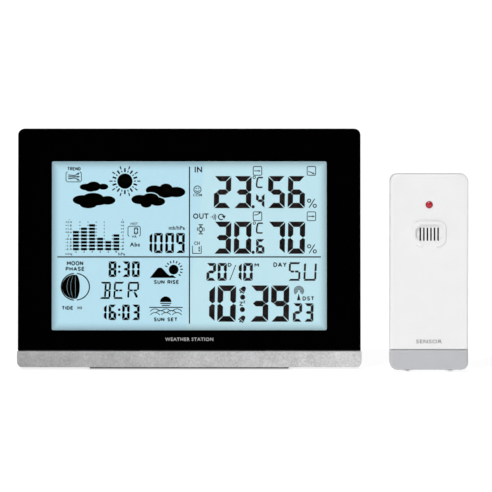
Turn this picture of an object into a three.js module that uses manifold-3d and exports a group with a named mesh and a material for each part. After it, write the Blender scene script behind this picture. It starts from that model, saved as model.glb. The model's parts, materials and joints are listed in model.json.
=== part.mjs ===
// A wireless home weather station: a desk display unit on a plug-in table stand, and its outdoor sensor.
// Units are millimetres, +Z is up and the display faces -Y. The origin lies on the table, under the
// display unit's stand.
//
// Each unit is modelled in a frame of its own: +X right, +Y from its front face to its back, +Z up its
// front face. The display unit's frame then leans back, and its underside is cut level with the table.

import * as THREE from "three";
import { mergeVertices } from "three/addons/utils/BufferGeometryUtils.js";
import Module from "manifold-3d";

const wasm = await Module();
wasm.setup();

// ---------------------------------------------------------------- driving dimensions

const GAP = 0.3; // play between neighbouring pieces

// Display unit
const LEAN = THREE.MathUtils.degToRad(6);
const BODY_WIDTH = 207;
const BODY_HEIGHT = 144.9;
const BODY_CORNER = 3.9;
const BAR_WIDTH = 208;
const BAR_HEIGHT = 10.3;
const BAR_CORNER = 4.3;
const BAR_PROUD = 1.2; // the bar stands this far in front of the bezel
const WALL = 2.2;
const PARTING = 7; // depth of the joint between front and back mouldings
const BACK_PLANE = 20;
const BACK_ROUND = 5;
const FLOOR_GAP = 0.95; // the body's own origin is this high above the table
const UNDERSIDE = 1.5; // height of the body's level underside above the table
const BODY_FRONT = 30; // the bezel's foot stands this far ahead of the origin

const WINDOW = { width: 166, height: 102.1, bottom: 22.9, corner: 1 };
const WINDOW_MID = WINDOW.bottom + WINDOW.height / 2;
const GLASS = { width: 176, height: 112 };

const BAY = { z: 70, halfWidth: 29.6, halfHeight: 23.3, floor: 11.5, wall: 1.4 };
const HUMP = { back: 28.2, halfWidth: 34, bottom: 39.6, top: 99 };
const DOOR = { halfWidth: 31, bottom: 44.8, top: 95.6, thick: 1.6 };
const KEY_COLUMNS = [-62, 62];
const KEY_ROWS = [94, 80, 66, 52];
const KEY = { width: 13, height: 6, proud: 0.8 };
const POSTS = [
  [-92, 137.5],
  [92, 137.5],
  [-96.5, 20],
  [96.5, 20],
];
const BUZZER = { x: 86, z: 106 };
const SOCKET = { x: 80, z: 26 };
const PROBE = { x: -85, z: 34 };
const SEAT_FRONT = 1; // the stand's seat begins behind the bar's front wall
const STAND = { width: 120, back: 60, top: 3.2, bottom: 0.2, front: -0.7, lip: 0.75, lipTop: 1.35 };
const TABS = [-38, 38];
const PAD = { halfWidth: 50, front: 14, back: 52 };

// Outdoor sensor
const SENSOR_X = 144; // distance between the two units' centre lines
const SENSOR_FRONT = 51; // its front face stands this far ahead of the origin
const CASE = { width: 47, height: 117.5, depth: 22, corner: 4.3, wall: 1.8, round: 1.3 };
const CASE_HALF = CASE.width / 2;
const CAP_HEIGHT = 12.2;
const CASE_PARTING = 11;
const TOE = { x: 12.8, width: 2.2, height: 1.3 };
const VENT = { z: 81.8, width: 20.4, height: 15.5, wall: 1.9, mouth: 8.5, proud: 1.3 };
const SEAM = 0.15; // the sensor's front shell meets its lower cap this closely
const LED_Z = 99.2;
const CELL_BAY = { bottom: 17.6, top: 74, halfWidth: 15.8, floor: 5.2 };
const SENSOR_DOOR = { halfWidth: 17, bottom: 15, top: 88.5, thick: 1.4 };
const SENSOR_POSTS = [
  [-17.4, 111.3],
  [17.4, 111.3],
];
const SWITCH = { x: -6, z: 81, travel: 4 };
const RESET = { x: 8, z: 81 };

const GRIP_PITCH = 2.2; // ribs on both battery doors

// AA cell
const CELL = { radius: 7.15, length: 50.5, nub: 2.75, nubLength: 1.3 };

// ---------------------------------------------------------------- materials

function finish(color, roughness, metalness = 0) {
  return new THREE.MeshStandardMaterial({ color, roughness, metalness });
}
const PIANO_BLACK = finish(0x050506, 0.08);
const CLEAR = finish(0xdfe8ea, 0.03);
CLEAR.transparent = true;
CLEAR.opacity = 0.2;
const SILVER = finish(0xbfc0c1, 0.42, 0.5);
const LCD_BLUE = finish(0xb9e2f0, 0.3);
const MILKY = finish(0xf0f2f2, 0.5);
const BLACK_PLASTIC = finish(0x1b1c1e, 0.55);
const RUBBER = finish(0x101011, 0.9);
const WHITE = finish(0xececec, 0.45);
const GREY = finish(0xbdbfc3, 0.45);
const BOARD_GREEN = finish(0x1c5a34, 0.5);
const STEEL = finish(0xb8babd, 0.3, 0.9);
const COPPER = finish(0xa5602f, 0.4, 0.8);
const FERRITE = finish(0x2a2a2c, 0.7);
const CELL_SKIN = finish(0x2f5f8f, 0.35, 0.3);
const RED_LENS = finish(0xb3222c, 0.15);

// ---------------------------------------------------------------- solids

// A closed three.js geometry as a manifold solid.
function solid(geometry) {
  const bare = geometry.clone();
  bare.deleteAttribute("normal");
  bare.deleteAttribute("uv");
  const merged = mergeVertices(bare, 1e-4);
  return new wasm.Manifold(
    new wasm.Mesh({
      numProp: 3,
      vertProperties: merged.attributes.position.array,
      triVerts: new Uint32Array(merged.index.array),
    }),
  );
}

// A manifold solid as a three.js geometry.
function geometryOf(made) {
  const mesh = made.getMesh();
  const geometry = new THREE.BufferGeometry();
  geometry.setAttribute("position", new THREE.BufferAttribute(mesh.vertProperties, 3));
  geometry.setIndex(new THREE.BufferAttribute(mesh.triVerts, 1));
  geometry.computeVertexNormals();
  return geometry;
}

const join = (...pieces) => pieces.reduce((whole, piece) => whole.add(piece));
const cut = (whole, ...tools) => tools.reduce((rest, tool) => rest.subtract(tool), whole);

// Points of a rectangle with rounded corners, counter-clockwise seen from the front. corners holds the
// radii at bottom left, bottom right, top right and top left, or one radius for all four.
function outline(x0, x1, z0, z1, corners, steps = 4) {
  const radii = Array.isArray(corners) ? corners : [corners, corners, corners, corners];
  const centres = [
    [x0 + radii[0], z0 + radii[0], Math.PI],
    [x1 - radii[1], z0 + radii[1], Math.PI * 1.5],
    [x1 - radii[2], z1 - radii[2], 0],
    [x0 + radii[3], z1 - radii[3], Math.PI / 2],
  ];
  return centres.flatMap(([x, z, start], corner) =>
    Array.from({ length: steps + 1 }, (_, i) => {
      const angle = start + (i / steps) * (Math.PI / 2);
      return new THREE.Vector2(x + radii[corner] * Math.cos(angle), z + radii[corner] * Math.sin(angle));
    }),
  );
}

// A closed solid through outlines with equal point counts, each at its own depth, front to back.
function loft(sections) {
  const count = sections[0].points.length;
  const positions = sections.flatMap(({ y, points }) => points.flatMap((p) => [p.x, y, p.y]));
  const faces = [];
  for (let s = 0; s + 1 < sections.length; s++)
    for (let i = 0; i < count; i++) {
      const next = (i + 1) % count;
      const [a, b] = [s * count + i, s * count + next];
      const [c, d] = [b + count, a + count];
      faces.push(a, d, c, a, c, b);
    }
  const last = (sections.length - 1) * count;
  for (const [a, b, c] of THREE.ShapeUtils.triangulateShape(sections[0].points, [])) faces.push(a, b, c);
  for (const [a, b, c] of THREE.ShapeUtils.triangulateShape(sections.at(-1).points, []))
    faces.push(last + a, last + c, last + b);
  const geometry = new THREE.BufferGeometry();
  geometry.setAttribute("position", new THREE.BufferAttribute(new Float32Array(positions), 3));
  geometry.setIndex(faces);
  return solid(geometry);
}

// A rounded block between two depths.
function block(x0, x1, y0, y1, z0, z1, corners = 0.01, steps = 1) {
  const points = outline(x0, x1, z0, z1, corners, steps);
  return loft([
    { y: y0, points },
    { y: y1, points },
  ]);
}

// A rounded block whose front edge (at y0) or back edge (at y1) is rounded too.
function softBlock(x0, x1, y0, y1, z0, z1, corner, { front = 0, back = 0, steps = 4, rings = 3 }) {
  const radii = Array.isArray(corner) ? corner : [corner, corner, corner, corner];
  const section = (y, inset) => {
    const smaller = radii.map((radius) => Math.max(radius - inset, 0.05));
    return { y, points: outline(x0 + inset, x1 - inset, z0 + inset, z1 - inset, smaller, steps) };
  };
  const sections = [];
  for (let i = 0; front && i < rings; i++) {
    const angle = (i / rings) * (Math.PI / 2);
    sections.push(section(y0 + front * (1 - Math.cos(angle)), front * (1 - Math.sin(angle))));
  }
  sections.push(section(y0 + front, 0), section(y1 - back, 0));
  for (let i = 1; back && i <= rings; i++) {
    const angle = (i / rings) * (Math.PI / 2);
    sections.push(section(y1 - back + back * Math.sin(angle), back * (1 - Math.cos(angle))));
  }
  return loft(sections);
}

// A round bar along Y.
function rod(x, z, y0, y1, radius, sides = 16) {
  const geometry = new THREE.CylinderGeometry(radius, radius, y1 - y0, sides);
  return solid(geometry.translate(x, (y0 + y1) / 2, z));
}

// A (y, z) profile swept along X.
function swept(profile, x0, x1) {
  const settings = { depth: x1 - x0, bevelEnabled: false };
  const geometry = new THREE.ExtrudeGeometry(new THREE.Shape(profile), settings);
  const turn = new THREE.Matrix4().makeBasis(
    new THREE.Vector3(0, 1, 0),
    new THREE.Vector3(0, 0, 1),
    new THREE.Vector3(1, 0, 0),
  );
  return solid(geometry.applyMatrix4(turn).translate(x0, 0, 0));
}

const points2 = (...pairs) => pairs.map(([a, b]) => new THREE.Vector2(a, b));

// A profile of [radius, height] turned about Z.
function turned(profile, sides = 16) {
  return new THREE.LatheGeometry(points2(...profile), sides).rotateX(Math.PI / 2);
}

// A wire along a curve.
function wire(curve, radius, steps, sides = 6) {
  const ring = Array.from({ length: sides }, (_, i) => {
    const angle = (i / sides) * Math.PI * 2;
    return new THREE.Vector2(radius * Math.cos(angle), radius * Math.sin(angle));
  });
  const settings = { steps, extrudePath: curve, bevelEnabled: false };
  return solid(new THREE.ExtrudeGeometry(new THREE.Shape(ring), settings));
}

class Helix extends THREE.Curve {
  constructor(startRadius, endRadius, length, turns) {
    super();
    Object.assign(this, { startRadius, endRadius, length, turns });
  }
  getPoint(t, target = new THREE.Vector3()) {
    const radius = THREE.MathUtils.lerp(this.startRadius, this.endRadius, t);
    const angle = t * this.turns * Math.PI * 2;
    return target.set(radius * Math.cos(angle), radius * Math.sin(angle), t * this.length);
  }
}

// ---------------------------------------------------------------- the scene graph

const station = new THREE.Group();
const sensor = new THREE.Group();
const set = new THREE.Group();
set.add(station, sensor);

// Adds a named piece to a group, made of a manifold solid or a geometry.
function piece(group, name, material, shape, x = 0, y = 0, z = 0) {
  const geometry = shape.isBufferGeometry ? shape : geometryOf(shape);
  const mesh = new THREE.Mesh(geometry, material);
  mesh.name = name;
  mesh.position.set(x, y, z);
  group.add(mesh);
  return mesh;
}

// ---------------------------------------------------------------- display unit: level underside

// Height up the leaning body of a point at depth y that is h above the table.
const atHeight = (y, h) => (h - FLOOR_GAP + y * Math.sin(LEAN)) / Math.cos(LEAN);

// Everything of the body below its level underside.
function belowUnderside() {
  const [near, far, deep] = [-10, 60, -30];
  return swept(
    points2([near, deep], [far, deep], [far, atHeight(far, UNDERSIDE)], [near, atHeight(near, UNDERSIDE)]),
    -BODY_WIDTH,
    BODY_WIDTH,
  );
}

// The shallow seat in the underside that the stand's plate lies in, behind the bar's front wall.
function standSeat() {
  const [near, far, deep] = [SEAT_FRONT, 40, -10];
  const roof = STAND.top + 0.4;
  return swept(
    points2([near, deep], [far, deep], [far, atHeight(far, roof)], [near, atHeight(near, roof)]),
    -STAND.width / 2 - 0.6,
    STAND.width / 2 + 0.6,
  );
}

// ---------------------------------------------------------------- display unit: front

function frontBezel() {
  const [half, low, high] = [BODY_WIDTH / 2, BAR_HEIGHT + GAP, BODY_HEIGHT];
  const corners = [0.4, 0.4, BODY_CORNER, BODY_CORNER];
  const shell = softBlock(-half, half, 0, PARTING, low, high, corners, { front: 0.35, rings: 2 });
  const hollow = block(-half + WALL, half - WALL, 2.4, PARTING + 1, low + WALL, high - WALL, 2, 3);
  const { width, height, bottom, corner } = WINDOW;
  const opening = block(-width / 2, width / 2, -1, 4, bottom, bottom + height, corner, 3);
  const post = ([x, z]) => rod(x, z, 2, 14.5, 3, 12);
  const pilot = ([x, z]) => rod(x, z, 6, 15, 1.35, 8);
  return cut(join(cut(shell, hollow, opening), ...POSTS.map(post)), ...POSTS.map(pilot));
}

// The clear pane lies flush in the bezel's opening, on a flange behind it.
function displayWindow() {
  const { width, height, bottom, corner } = WINDOW;
  const [half, play, lip] = [width / 2, 0.15, 2.8];
  const pane = block(-half + play, half - play, 0.05, 3, bottom + play, bottom + height - play, corner, 3);
  const flange = block(-half - lip, half + lip, 2.65, 3.3, bottom - lip, bottom + height + lip, 1, 2);
  return join(pane, flange);
}

const glassBlock = (grow, y0, y1, shorter = 0) =>
  block(
    -GLASS.width / 2 - grow,
    GLASS.width / 2 + grow,
    y0,
    y1,
    WINDOW_MID - GLASS.height / 2 - grow + shorter,
    WINDOW_MID + GLASS.height / 2 + grow - shorter,
  );

function lcdFrame() {
  return cut(glassBlock(3.2, 3.6, 8.6), glassBlock(GAP, 3, 9));
}

function zebraStrip(side) {
  const edge = WINDOW_MID + side * (GLASS.height / 2 - 2.2);
  return block(-78, 78, 6.15, 8.65, edge - 1.4, edge + 1.4);
}

// ---------------------------------------------------------------- display unit: electronics

const BOARD = { halfWidth: 91.5, front: 8.9, back: 10.1, bottom: 16, top: 131.5 };

// The main board with what is soldered to it: a tact switch behind each key, the processor and passives.
function mainBoard() {
  const { halfWidth, front, back, bottom, top } = BOARD;
  const seat = back - 0.2;
  const tactSwitch = (x, z) =>
    join(block(x - 3, x + 3, seat, 13.6, z - 3, z + 3), rod(x, z, 13, 14.1, 1.6, 8));
  const keySwitches = KEY_COLUMNS.flatMap((x) => KEY_ROWS.map((z) => tactSwitch(x, z)));
  const snoozeSwitch = block(-3, 3, seat, 13.2, top - 6, top - 0.5);
  const processor = block(-9, 9, seat, 11.6, 106, 118);
  const memory = block(-52, -42, seat, 11.8, 112, 118);
  const regulator = block(40, 49, seat, 12.4, 30, 34);
  const capacitor = rod(-48, 30, seat, 15.5, 3.1, 12);
  const crystal = block(-30, -22, seat, 11.3, 24, 32);
  const connector = block(52, 56, seat, 11, 108, 114);
  const board = block(-halfWidth, halfWidth, front, back, bottom, top);
  const loose = [snoozeSwitch, processor, memory, regulator, capacitor, crystal, connector];
  return join(board, ...keySwitches, ...loose);
}

function receiverBoard() {
  const board = block(52, 84, 13, 14.1, 119, 132.5);
  const pins = block(53, 66, 10.4, 13.2, 119.5, 121.5);
  const can = block(68, 82, 14, 16.2, 121, 131);
  return join(board, pins, can);
}

const FERRITE_ROD = { x0: -97, x1: -47, y: 14.3, z: 126, radius: 2.6 };

function ferriteRod() {
  const { x0, x1, radius } = FERRITE_ROD;
  return new THREE.CylinderGeometry(radius, radius, x1 - x0, 16).rotateZ(Math.PI / 2);
}

function antennaCoil() {
  const { radius } = FERRITE_ROD;
  const [inner, outer, half] = [radius + 0.25, radius + 1, 9];
  const tube = turned(
    [
      [inner, -half],
      [outer, -half],
      [outer, half],
      [inner, half],
      [inner, -half],
    ],
    18,
  );
  return tube.rotateY(Math.PI / 2);
}

function buzzer() {
  const can = rod(0, 0, 0, 5.5, 6.4, 18);
  return cut(can, rod(0, 0, 4.2, 6, 1.2, 8));
}

function dcSocket() {
  const shell = join(rod(0, 0, -4, 5.3, 4.6, 18), block(-4.6, 4.6, -4, 0, -5.4, 5.4));
  return join(cut(shell, rod(0, 0, -2.5, 6, 2.75, 18)), rod(0, 0, -3, 4.6, 0.95, 10));
}

function indoorProbe() {
  return join(block(-4, 4, -3.6, 0.9, -5, 5), block(-2, 2, 0.8, 1.8, -2, 2));
}

// ---------------------------------------------------------------- display unit: base bar and back

function baseBar() {
  const half = BAR_WIDTH / 2;
  const corners = [BAR_CORNER, BAR_CORNER, 0.5, 0.5];
  const bar = softBlock(-half, half, -BAR_PROUD, PARTING, -0.2, BAR_HEIGHT, corners, { front: 0.8 });
  const trough = block(-half + WALL, half - WALL, 1, PARTING + 1, 5.4, BAR_HEIGHT + 1, 0.5, 1);
  return cut(bar, trough, belowUnderside(), standSeat());
}

const onBack = (x, z, radius, sides) => rod(x, z, BACK_PLANE - 4, BACK_PLANE + 2, radius, sides);

// A hole for a screw's head with a narrower slot above it.
function keyhole(x, z, head, neck, rise, y0, y1) {
  return join(
    rod(x, z, y0, y1, head, 20),
    rod(x, z + rise, y0, y1, neck, 14),
    block(x - neck, x + neck, y0, y1, z, z + rise),
  );
}

function soundHoles() {
  const ring = Array.from({ length: 6 }, (_, i) => {
    const angle = (i * Math.PI) / 3;
    return onBack(BUZZER.x + 3.6 * Math.cos(angle), BUZZER.z + 3.6 * Math.sin(angle), 0.9, 6);
  });
  return [onBack(BUZZER.x, BUZZER.z, 0.9, 6), ...ring];
}

function airSlots() {
  return Array.from({ length: 5 }, (_, i) => {
    const z = PROBE.z + (i - 2) * 3;
    return block(PROBE.x - 7, PROBE.x + 7, BACK_PLANE - 4, BACK_PLANE + 1, z - 0.7, z + 0.7, 0.69, 2);
  });
}

// The hump over the cells, with the cell bay sunk into it and a rebate for the door.
function hump() {
  const { back, halfWidth, bottom, top } = HUMP;
  const flare = 3;
  const section = (y, grow, r) => ({
    y,
    points: outline(-halfWidth - grow, halfWidth + grow, bottom - grow, top + grow, r, 4),
  });
  return loft([
    section(BACK_PLANE - 1, flare, 6),
    section(BACK_PLANE, flare, 6),
    section(back - 1.2, 0.4, 4),
    section(back - 0.4, 0, 3.6),
    section(back, -0.6, 3),
  ]);
}

function backCover() {
  const half = BODY_WIDTH / 2;
  const corners = [BAR_CORNER, BAR_CORNER, BODY_CORNER, BODY_CORNER];
  const front = PARTING + GAP;
  const shell = softBlock(-half, half, front, BACK_PLANE, -0.2, BODY_HEIGHT, corners, { back: BACK_ROUND });
  const hollow = softBlock(-half + WALL, half - WALL, front - 1, BACK_PLANE - 2, 7, BODY_HEIGHT - WALL, 2, {
    back: 3,
    steps: 3,
    rings: 2,
  });
  const { z, halfWidth, halfHeight, floor, wall } = BAY;
  const [tubWidth, tubHeight] = [halfWidth + wall, halfHeight + wall];
  const tub = block(-tubWidth, tubWidth, floor - 1.1, BACK_PLANE, z - tubHeight, z + tubHeight);
  const bay = block(-halfWidth, halfWidth, floor, HUMP.back + 1, z - halfHeight, z + halfHeight);
  const rebate = block(
    -DOOR.halfWidth - GAP,
    DOOR.halfWidth + GAP,
    HUMP.back - DOOR.thick - GAP,
    HUMP.back + 1,
    DOOR.bottom - 0.8,
    DOOR.top + GAP,
    1,
    3,
  );
  const latchNotch = block(-7.5, 7.5, HUMP.back - 3, HUMP.back + 1, DOOR.top - 2.5, DOOR.top + 6, 1.5, 2);
  const hingePockets = [-20, 20].map((x) => block(x - 3.9, x + 3.9, 24.2, 27.7, 41.6, DOOR.bottom + 0.5));
  const bosses = POSTS.map(([x, pz]) => rod(x, pz, 14.8, BACK_PLANE - 1, 4.1, 12));
  const screwHoles = POSTS.flatMap(([x, pz]) => [rod(x, pz, 16.6, 22, 3.2, 12), rod(x, pz, 14, 18, 1.6, 8)]);
  const keyHoles = KEY_COLUMNS.flatMap((x) =>
    KEY_ROWS.map((kz) => block(x - 6.8, x + 6.8, 16, 21, kz - 3.3, kz + 3.3, 3.29, 3)),
  );
  const tabSlots = TABS.map((x) => block(x - 8.4, x + 8.4, 9.6, 12.8, -5, 8));
  const snoozeSlot = block(-28.4, 28.4, 8.6, 14.1, BODY_HEIGHT - 5, BODY_HEIGHT + 1);
  const labelSeat = block(-26, 26, BACK_PLANE - 0.4, BACK_PLANE + 1, 13, 32, 1, 2);
  return cut(
    join(cut(shell, hollow), tub, hump(), ...bosses),
    bay,
    rebate,
    latchNotch,
    ...hingePockets,
    ...screwHoles,
    ...keyHoles,
    ...tabSlots,
    snoozeSlot,
    labelSeat,
    onBack(SOCKET.x, SOCKET.z, 4.95, 20),
    keyhole(0, 118, 4.6, 2.3, 8, BACK_PLANE - 3, BACK_PLANE + 1),
    ...soundHoles(),
    ...airSlots(),
    belowUnderside(),
    standSeat(),
  );
}

// A door that swings on two lower tabs and latches at its upper edge.
function batteryDoor() {
  const { halfWidth, bottom, top, thick } = DOOR;
  const [inner, outer] = [HUMP.back - thick, HUMP.back];
  const plate = block(-halfWidth, halfWidth, inner, outer, bottom, top, 0.8, 2);
  const edgeCut = swept(
    points2([outer - 1.1, bottom - 0.1], [outer + 0.1, bottom - 0.1], [outer + 0.1, bottom + 1.2]),
    -halfWidth - 1,
    halfWidth + 1,
  );
  const tabs = [-20, 20].map((x) => block(x - 3.5, x + 3.5, inner, inner + 0.8, bottom - 2.6, bottom + 1));
  const latch = block(-6, 6, inner - 0.9, outer - 0.4, top - 1, top + 3, 0.8, 2);
  const grip = (z) => block(-9, 9, outer - 0.1, outer + 0.5, z, z + 1);
  const grips = [0, 1, 2, 3].map((i) => grip(top - 7 - i * GRIP_PITCH));
  return join(cut(plate, edgeCut), ...tabs, latch, ...grips);
}

// ---------------------------------------------------------------- display unit: keys

function key() {
  const { width, height, proud } = KEY;
  const cap = softBlock(-width / 2, width / 2, -3, proud, -height / 2, height / 2, height / 2 - 0.01, {
    back: 0.5,
    steps: 3,
    rings: 1,
  });
  const [w, h] = [width / 2 + 1.2, height / 2 + 1.2];
  const flange = block(-w, w, -3.6, -2.6, -h, h, 1, 2);
  return join(cap, flange, block(-2, 2, -5.1, -3, -2, 2));
}

function snoozeBar() {
  const cap = block(-28, 28, 8.9, 13.8, BODY_HEIGHT - 2.6, BODY_HEIGHT + 0.3, 0.4, 2);
  const flange = block(-30, 30, 8.2, 14.6, BODY_HEIGHT - 4, BODY_HEIGHT - WALL - 0.3);
  const plunger = block(-1.5, 1.5, 10.6, 12.8, 132, BODY_HEIGHT - 3);
  return join(cap, flange, plunger);
}

// ---------------------------------------------------------------- display unit: stand

function tableStand() {
  const { width, back, top, bottom, front, lip, lipTop } = STAND;
  const [seatWall, slopeEnd, flatEnd] = [SEAT_FRONT + 0.5, 12, 24];
  const plate = swept(
    points2(
      [front, atHeight(front, lip)],
      [slopeEnd, atHeight(slopeEnd, bottom)],
      [back, atHeight(back, bottom)],
      [back, atHeight(back, top - 1)],
      [flatEnd, atHeight(flatEnd, top)],
      [seatWall, atHeight(seatWall, top)],
      [seatWall, atHeight(seatWall, lipTop)],
      [front, atHeight(front, lipTop)],
    ),
    -width / 2,
    width / 2,
  );
  const rounded = new THREE.ExtrudeGeometry(
    new THREE.Shape(outline(-width / 2, width / 2, -5, back, [1, 1, 12, 12], 6)),
    { depth: 40, bevelEnabled: false },
  ).translate(0, 0, -10);
  const tabs = TABS.map((x) => block(x - 8, x + 8, 10, 12.4, 1, 13.5, 1.2, 2));
  return cut(join(plate.intersect(solid(rounded)), ...tabs), padBlock(0.25, 0.8));
}

// The rubber pad's space under the stand, from the table up to a height.
function padBlock(grow, height) {
  const { halfWidth, front, back } = PAD;
  return swept(
    points2(
      [front - grow, atHeight(front, -grow)],
      [back + grow, atHeight(back, -grow)],
      [back + grow, atHeight(back, height)],
      [front - grow, atHeight(front, height)],
    ),
    -halfWidth - grow,
    halfWidth + grow,
  );
}

// ---------------------------------------------------------------- cells and contacts

// An AA cell along Z, its centre at the origin and its nub up.
function cell() {
  const { radius, length, nub, nubLength } = CELL;
  const [low, high] = [-length / 2, length / 2];
  const shoulder = high - nubLength;
  return turned([
    [0, low],
    [radius - 0.6, low],
    [radius, low + 0.5],
    [radius, shoulder - 0.6],
    [radius - 0.8, shoulder],
    [nub, shoulder],
    [nub, high - 0.3],
    [nub - 0.4, high],
    [0, high],
  ]);
}

// A conical spring along Z, wide end at the origin.
const conicalSpring = (length) => wire(new Helix(4.3, 2.4, length, 2.5), 0.42, 20, 5);

// Contacts lie against a wall at z 0 and press on their cells along +Z: springs at some x, flats at others.
function contact(springs, flats, springLength) {
  const all = [...springs, ...flats];
  const [x0, x1] = [Math.min(...all) - 5.4, Math.max(...all) + 5.4];
  const plate = solid(new THREE.BoxGeometry(x1 - x0, 10, 0.4).translate((x0 + x1) / 2, 0, 0.2));
  const coils = springs.map((x) => conicalSpring(springLength).translate([x, 0, 0.6]));
  const dimple = solid(new THREE.CylinderGeometry(1.6, 2.4, 0.5, 12).rotateX(Math.PI / 2));
  const dimples = flats.map((x) => dimple.translate([x, 0, 0.6]));
  return join(plate, ...coils, ...dimples);
}

// ---------------------------------------------------------------- screws

// A self-tapping screw along Y: the head's top faces +Y and its seat is at the origin.
function screw(headRadius, length) {
  const head = rod(0, 0, 0, 1.7, headRadius, 12);
  const shank = rod(0, 0, -length, 0.2, 1.1, 8);
  const slots = [
    [0.35, 1.7],
    [1.7, 0.35],
  ].map(([x, z]) => block(-x, x, 0.8, 2, -z, z));
  return cut(join(head, shank), ...slots);
}

// ---------------------------------------------------------------- display unit: assembly

function addStation() {
  const add = (...settings) => piece(station, ...settings);
  add("front_bezel", PIANO_BLACK, frontBezel());
  add("display_window", CLEAR, displayWindow());
  add("lcd_panel", LCD_BLUE, glassBlock(0, 3.6, 5.8));
  add("lcd_frame", MILKY, lcdFrame());
  add("backlight_panel", MILKY, glassBlock(0, 6.1, 8.6, 4.4));
  add("zebra_strip_upper", RUBBER, zebraStrip(1));
  add("zebra_strip_lower", RUBBER, zebraStrip(-1));
  add("main_board", BOARD_GREEN, mainBoard());
  add("receiver_board", BOARD_GREEN, receiverBoard());
  const rodMiddle = (FERRITE_ROD.x0 + FERRITE_ROD.x1) / 2;
  add("ferrite_rod", FERRITE, ferriteRod(), rodMiddle, FERRITE_ROD.y, FERRITE_ROD.z);
  add("antenna_coil", COPPER, antennaCoil(), rodMiddle, FERRITE_ROD.y, FERRITE_ROD.z);
  add("buzzer", BLACK_PLASTIC, buzzer(), BUZZER.x, 10.4, BUZZER.z);
  add("indoor_probe", WHITE, indoorProbe(), PROBE.x, 14, PROBE.z);
  add("dc_socket", BLACK_PLASTIC, dcSocket(), SOCKET.x, 14.4, SOCKET.z);
  add("base_bar", SILVER, baseBar());
  add("back_cover", SILVER, backCover());
  add("battery_door", SILVER, batteryDoor());
  add("snooze_bar", SILVER, snoozeBar());
  const names = ["mode", "alarm", "plus", "minus", "channel", "history", "units", "city"];
  names.forEach((name, i) => {
    const [x, z] = [KEY_COLUMNS[Math.floor(i / 4)], KEY_ROWS[i % 4]];
    add("key_" + name, BLACK_PLASTIC, key(), x, BACK_PLANE, z);
  });
  POSTS.forEach(([x, z], i) => add("cover_screw_" + (i + 1), STEEL, screw(2.7, 9), x, 16.9, z));
  add("table_stand", BLACK_PLASTIC, tableStand());
  add("stand_pad", RUBBER, padBlock(0, 0.6));
  addStationCells(add);
}

// Three cells lie across the bay, their nubs turned alternately right and left.
function addStationCells(add) {
  const pitch = 15;
  const depth = 18.8;
  const [wallX, nubTip, springLength] = [BAY.halfWidth - 0.15, 28.2, 5.4];
  const rows = [BAY.z + pitch, BAY.z, BAY.z - pitch];
  rows.forEach((z, i) => {
    const side = i % 2 ? -1 : 1;
    const x = side * (nubTip - CELL.length / 2);
    const mesh = add("battery_cell_" + (i + 1), CELL_SKIN, cell(), x, depth, z);
    mesh.rotation.y = (side * Math.PI) / 2;
  });
  // On the right wall: the first cell's nub, then the second's tail with the third's nub. Left mirrors it.
  const right = [contact([], [0], springLength), contact([0], [-pitch], springLength)];
  const left = [contact([-pitch], [0], springLength), contact([0], [], springLength)];
  right.forEach((shape, i) => {
    const mesh = add("battery_contact_" + (i ? 3 : 1), STEEL, shape, wallX, depth, rows[i]);
    mesh.rotation.set(0, -Math.PI / 2, 0);
  });
  left.forEach((shape, i) => {
    const mesh = add("battery_contact_" + (i ? 4 : 2), STEEL, shape, -wallX, depth, rows[i ? 2 : 1]);
    mesh.rotation.set(0, Math.PI / 2, 0);
  });
}

// ---------------------------------------------------------------- outdoor sensor: case

// The vent's rim: a horseshoe standing on the front face, open below.
function ventRim() {
  const { z, width, height, wall, mouth, proud } = VENT;
  const [w, h] = [width / 2, height / 2];
  const outer = softBlock(-w, w, -proud, 0.5, z - h, z + h, [5.4, 5.4, 4.6, 4.6], { front: 0.7, rings: 2 });
  const inner = block(-w + wall, w - wall, -proud - 1, 1, z - h + wall, z + h - wall, [3.9, 3.9, 3.2, 3.2]);
  return cut(outer, inner, block(-mouth / 2, mouth / 2, -proud - 1, 1, z - h - 1, z));
}

// The hollow inside the rim slopes from nothing at its mouth to its full depth at the top.
function ventHollow() {
  const { z, width, height, wall } = VENT;
  const [w, h, deep] = [width / 2 - wall - 0.4, height / 2, 0.9];
  const [mouthZ, roof] = [z - h + 1, z + h - wall - 0.4];
  const profile = points2([0.01, mouthZ], [deep, z - 3], [deep, roof], [-1, roof], [-1, mouthZ]);
  return swept(profile, -w, w).intersect(block(-w, w, -2, 2, z - h, roof, [3.4, 3.4, 2.8, 2.8]));
}

function ventSlots() {
  const pitch = 2.13;
  return Array.from({ length: 6 }, (_, i) => {
    const x = (i - 2.5) * pitch;
    return block(x - 0.48, x + 0.48, -1, 4, VENT.z - 4.2, VENT.z + 3.7);
  });
}

function sensorFrontShell() {
  const { height, corner, wall, round } = CASE;
  const low = CAP_HEIGHT + SEAM;
  const corners = [0.4, 0.4, corner, corner];
  const shell = softBlock(-CASE_HALF, CASE_HALF, 0, CASE_PARTING, low, height, corners, { front: round });
  const hollow = block(-CASE_HALF + wall, CASE_HALF - wall, wall, CASE_PARTING + 1, 5, height - wall, 2.5, 3);
  const posts = SENSOR_POSTS.map(([x, z]) => rod(x, z, 1, 14.2, 2.4, 12));
  const pilots = SENSOR_POSTS.map(([x, z]) => rod(x, z, 5, 15, 1.3, 10));
  const dish = solid(new THREE.CylinderGeometry(2.4, 3.1, 0.5, 24).translate(0, 0.2, LED_Z));
  const ledHole = rod(0, LED_Z, -1, 3, 2.2, 24);
  return cut(
    join(cut(shell, hollow, ventHollow()), ventRim(), ...posts),
    ...ventSlots(),
    ...pilots,
    dish,
    ledHole,
  );
}

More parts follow.
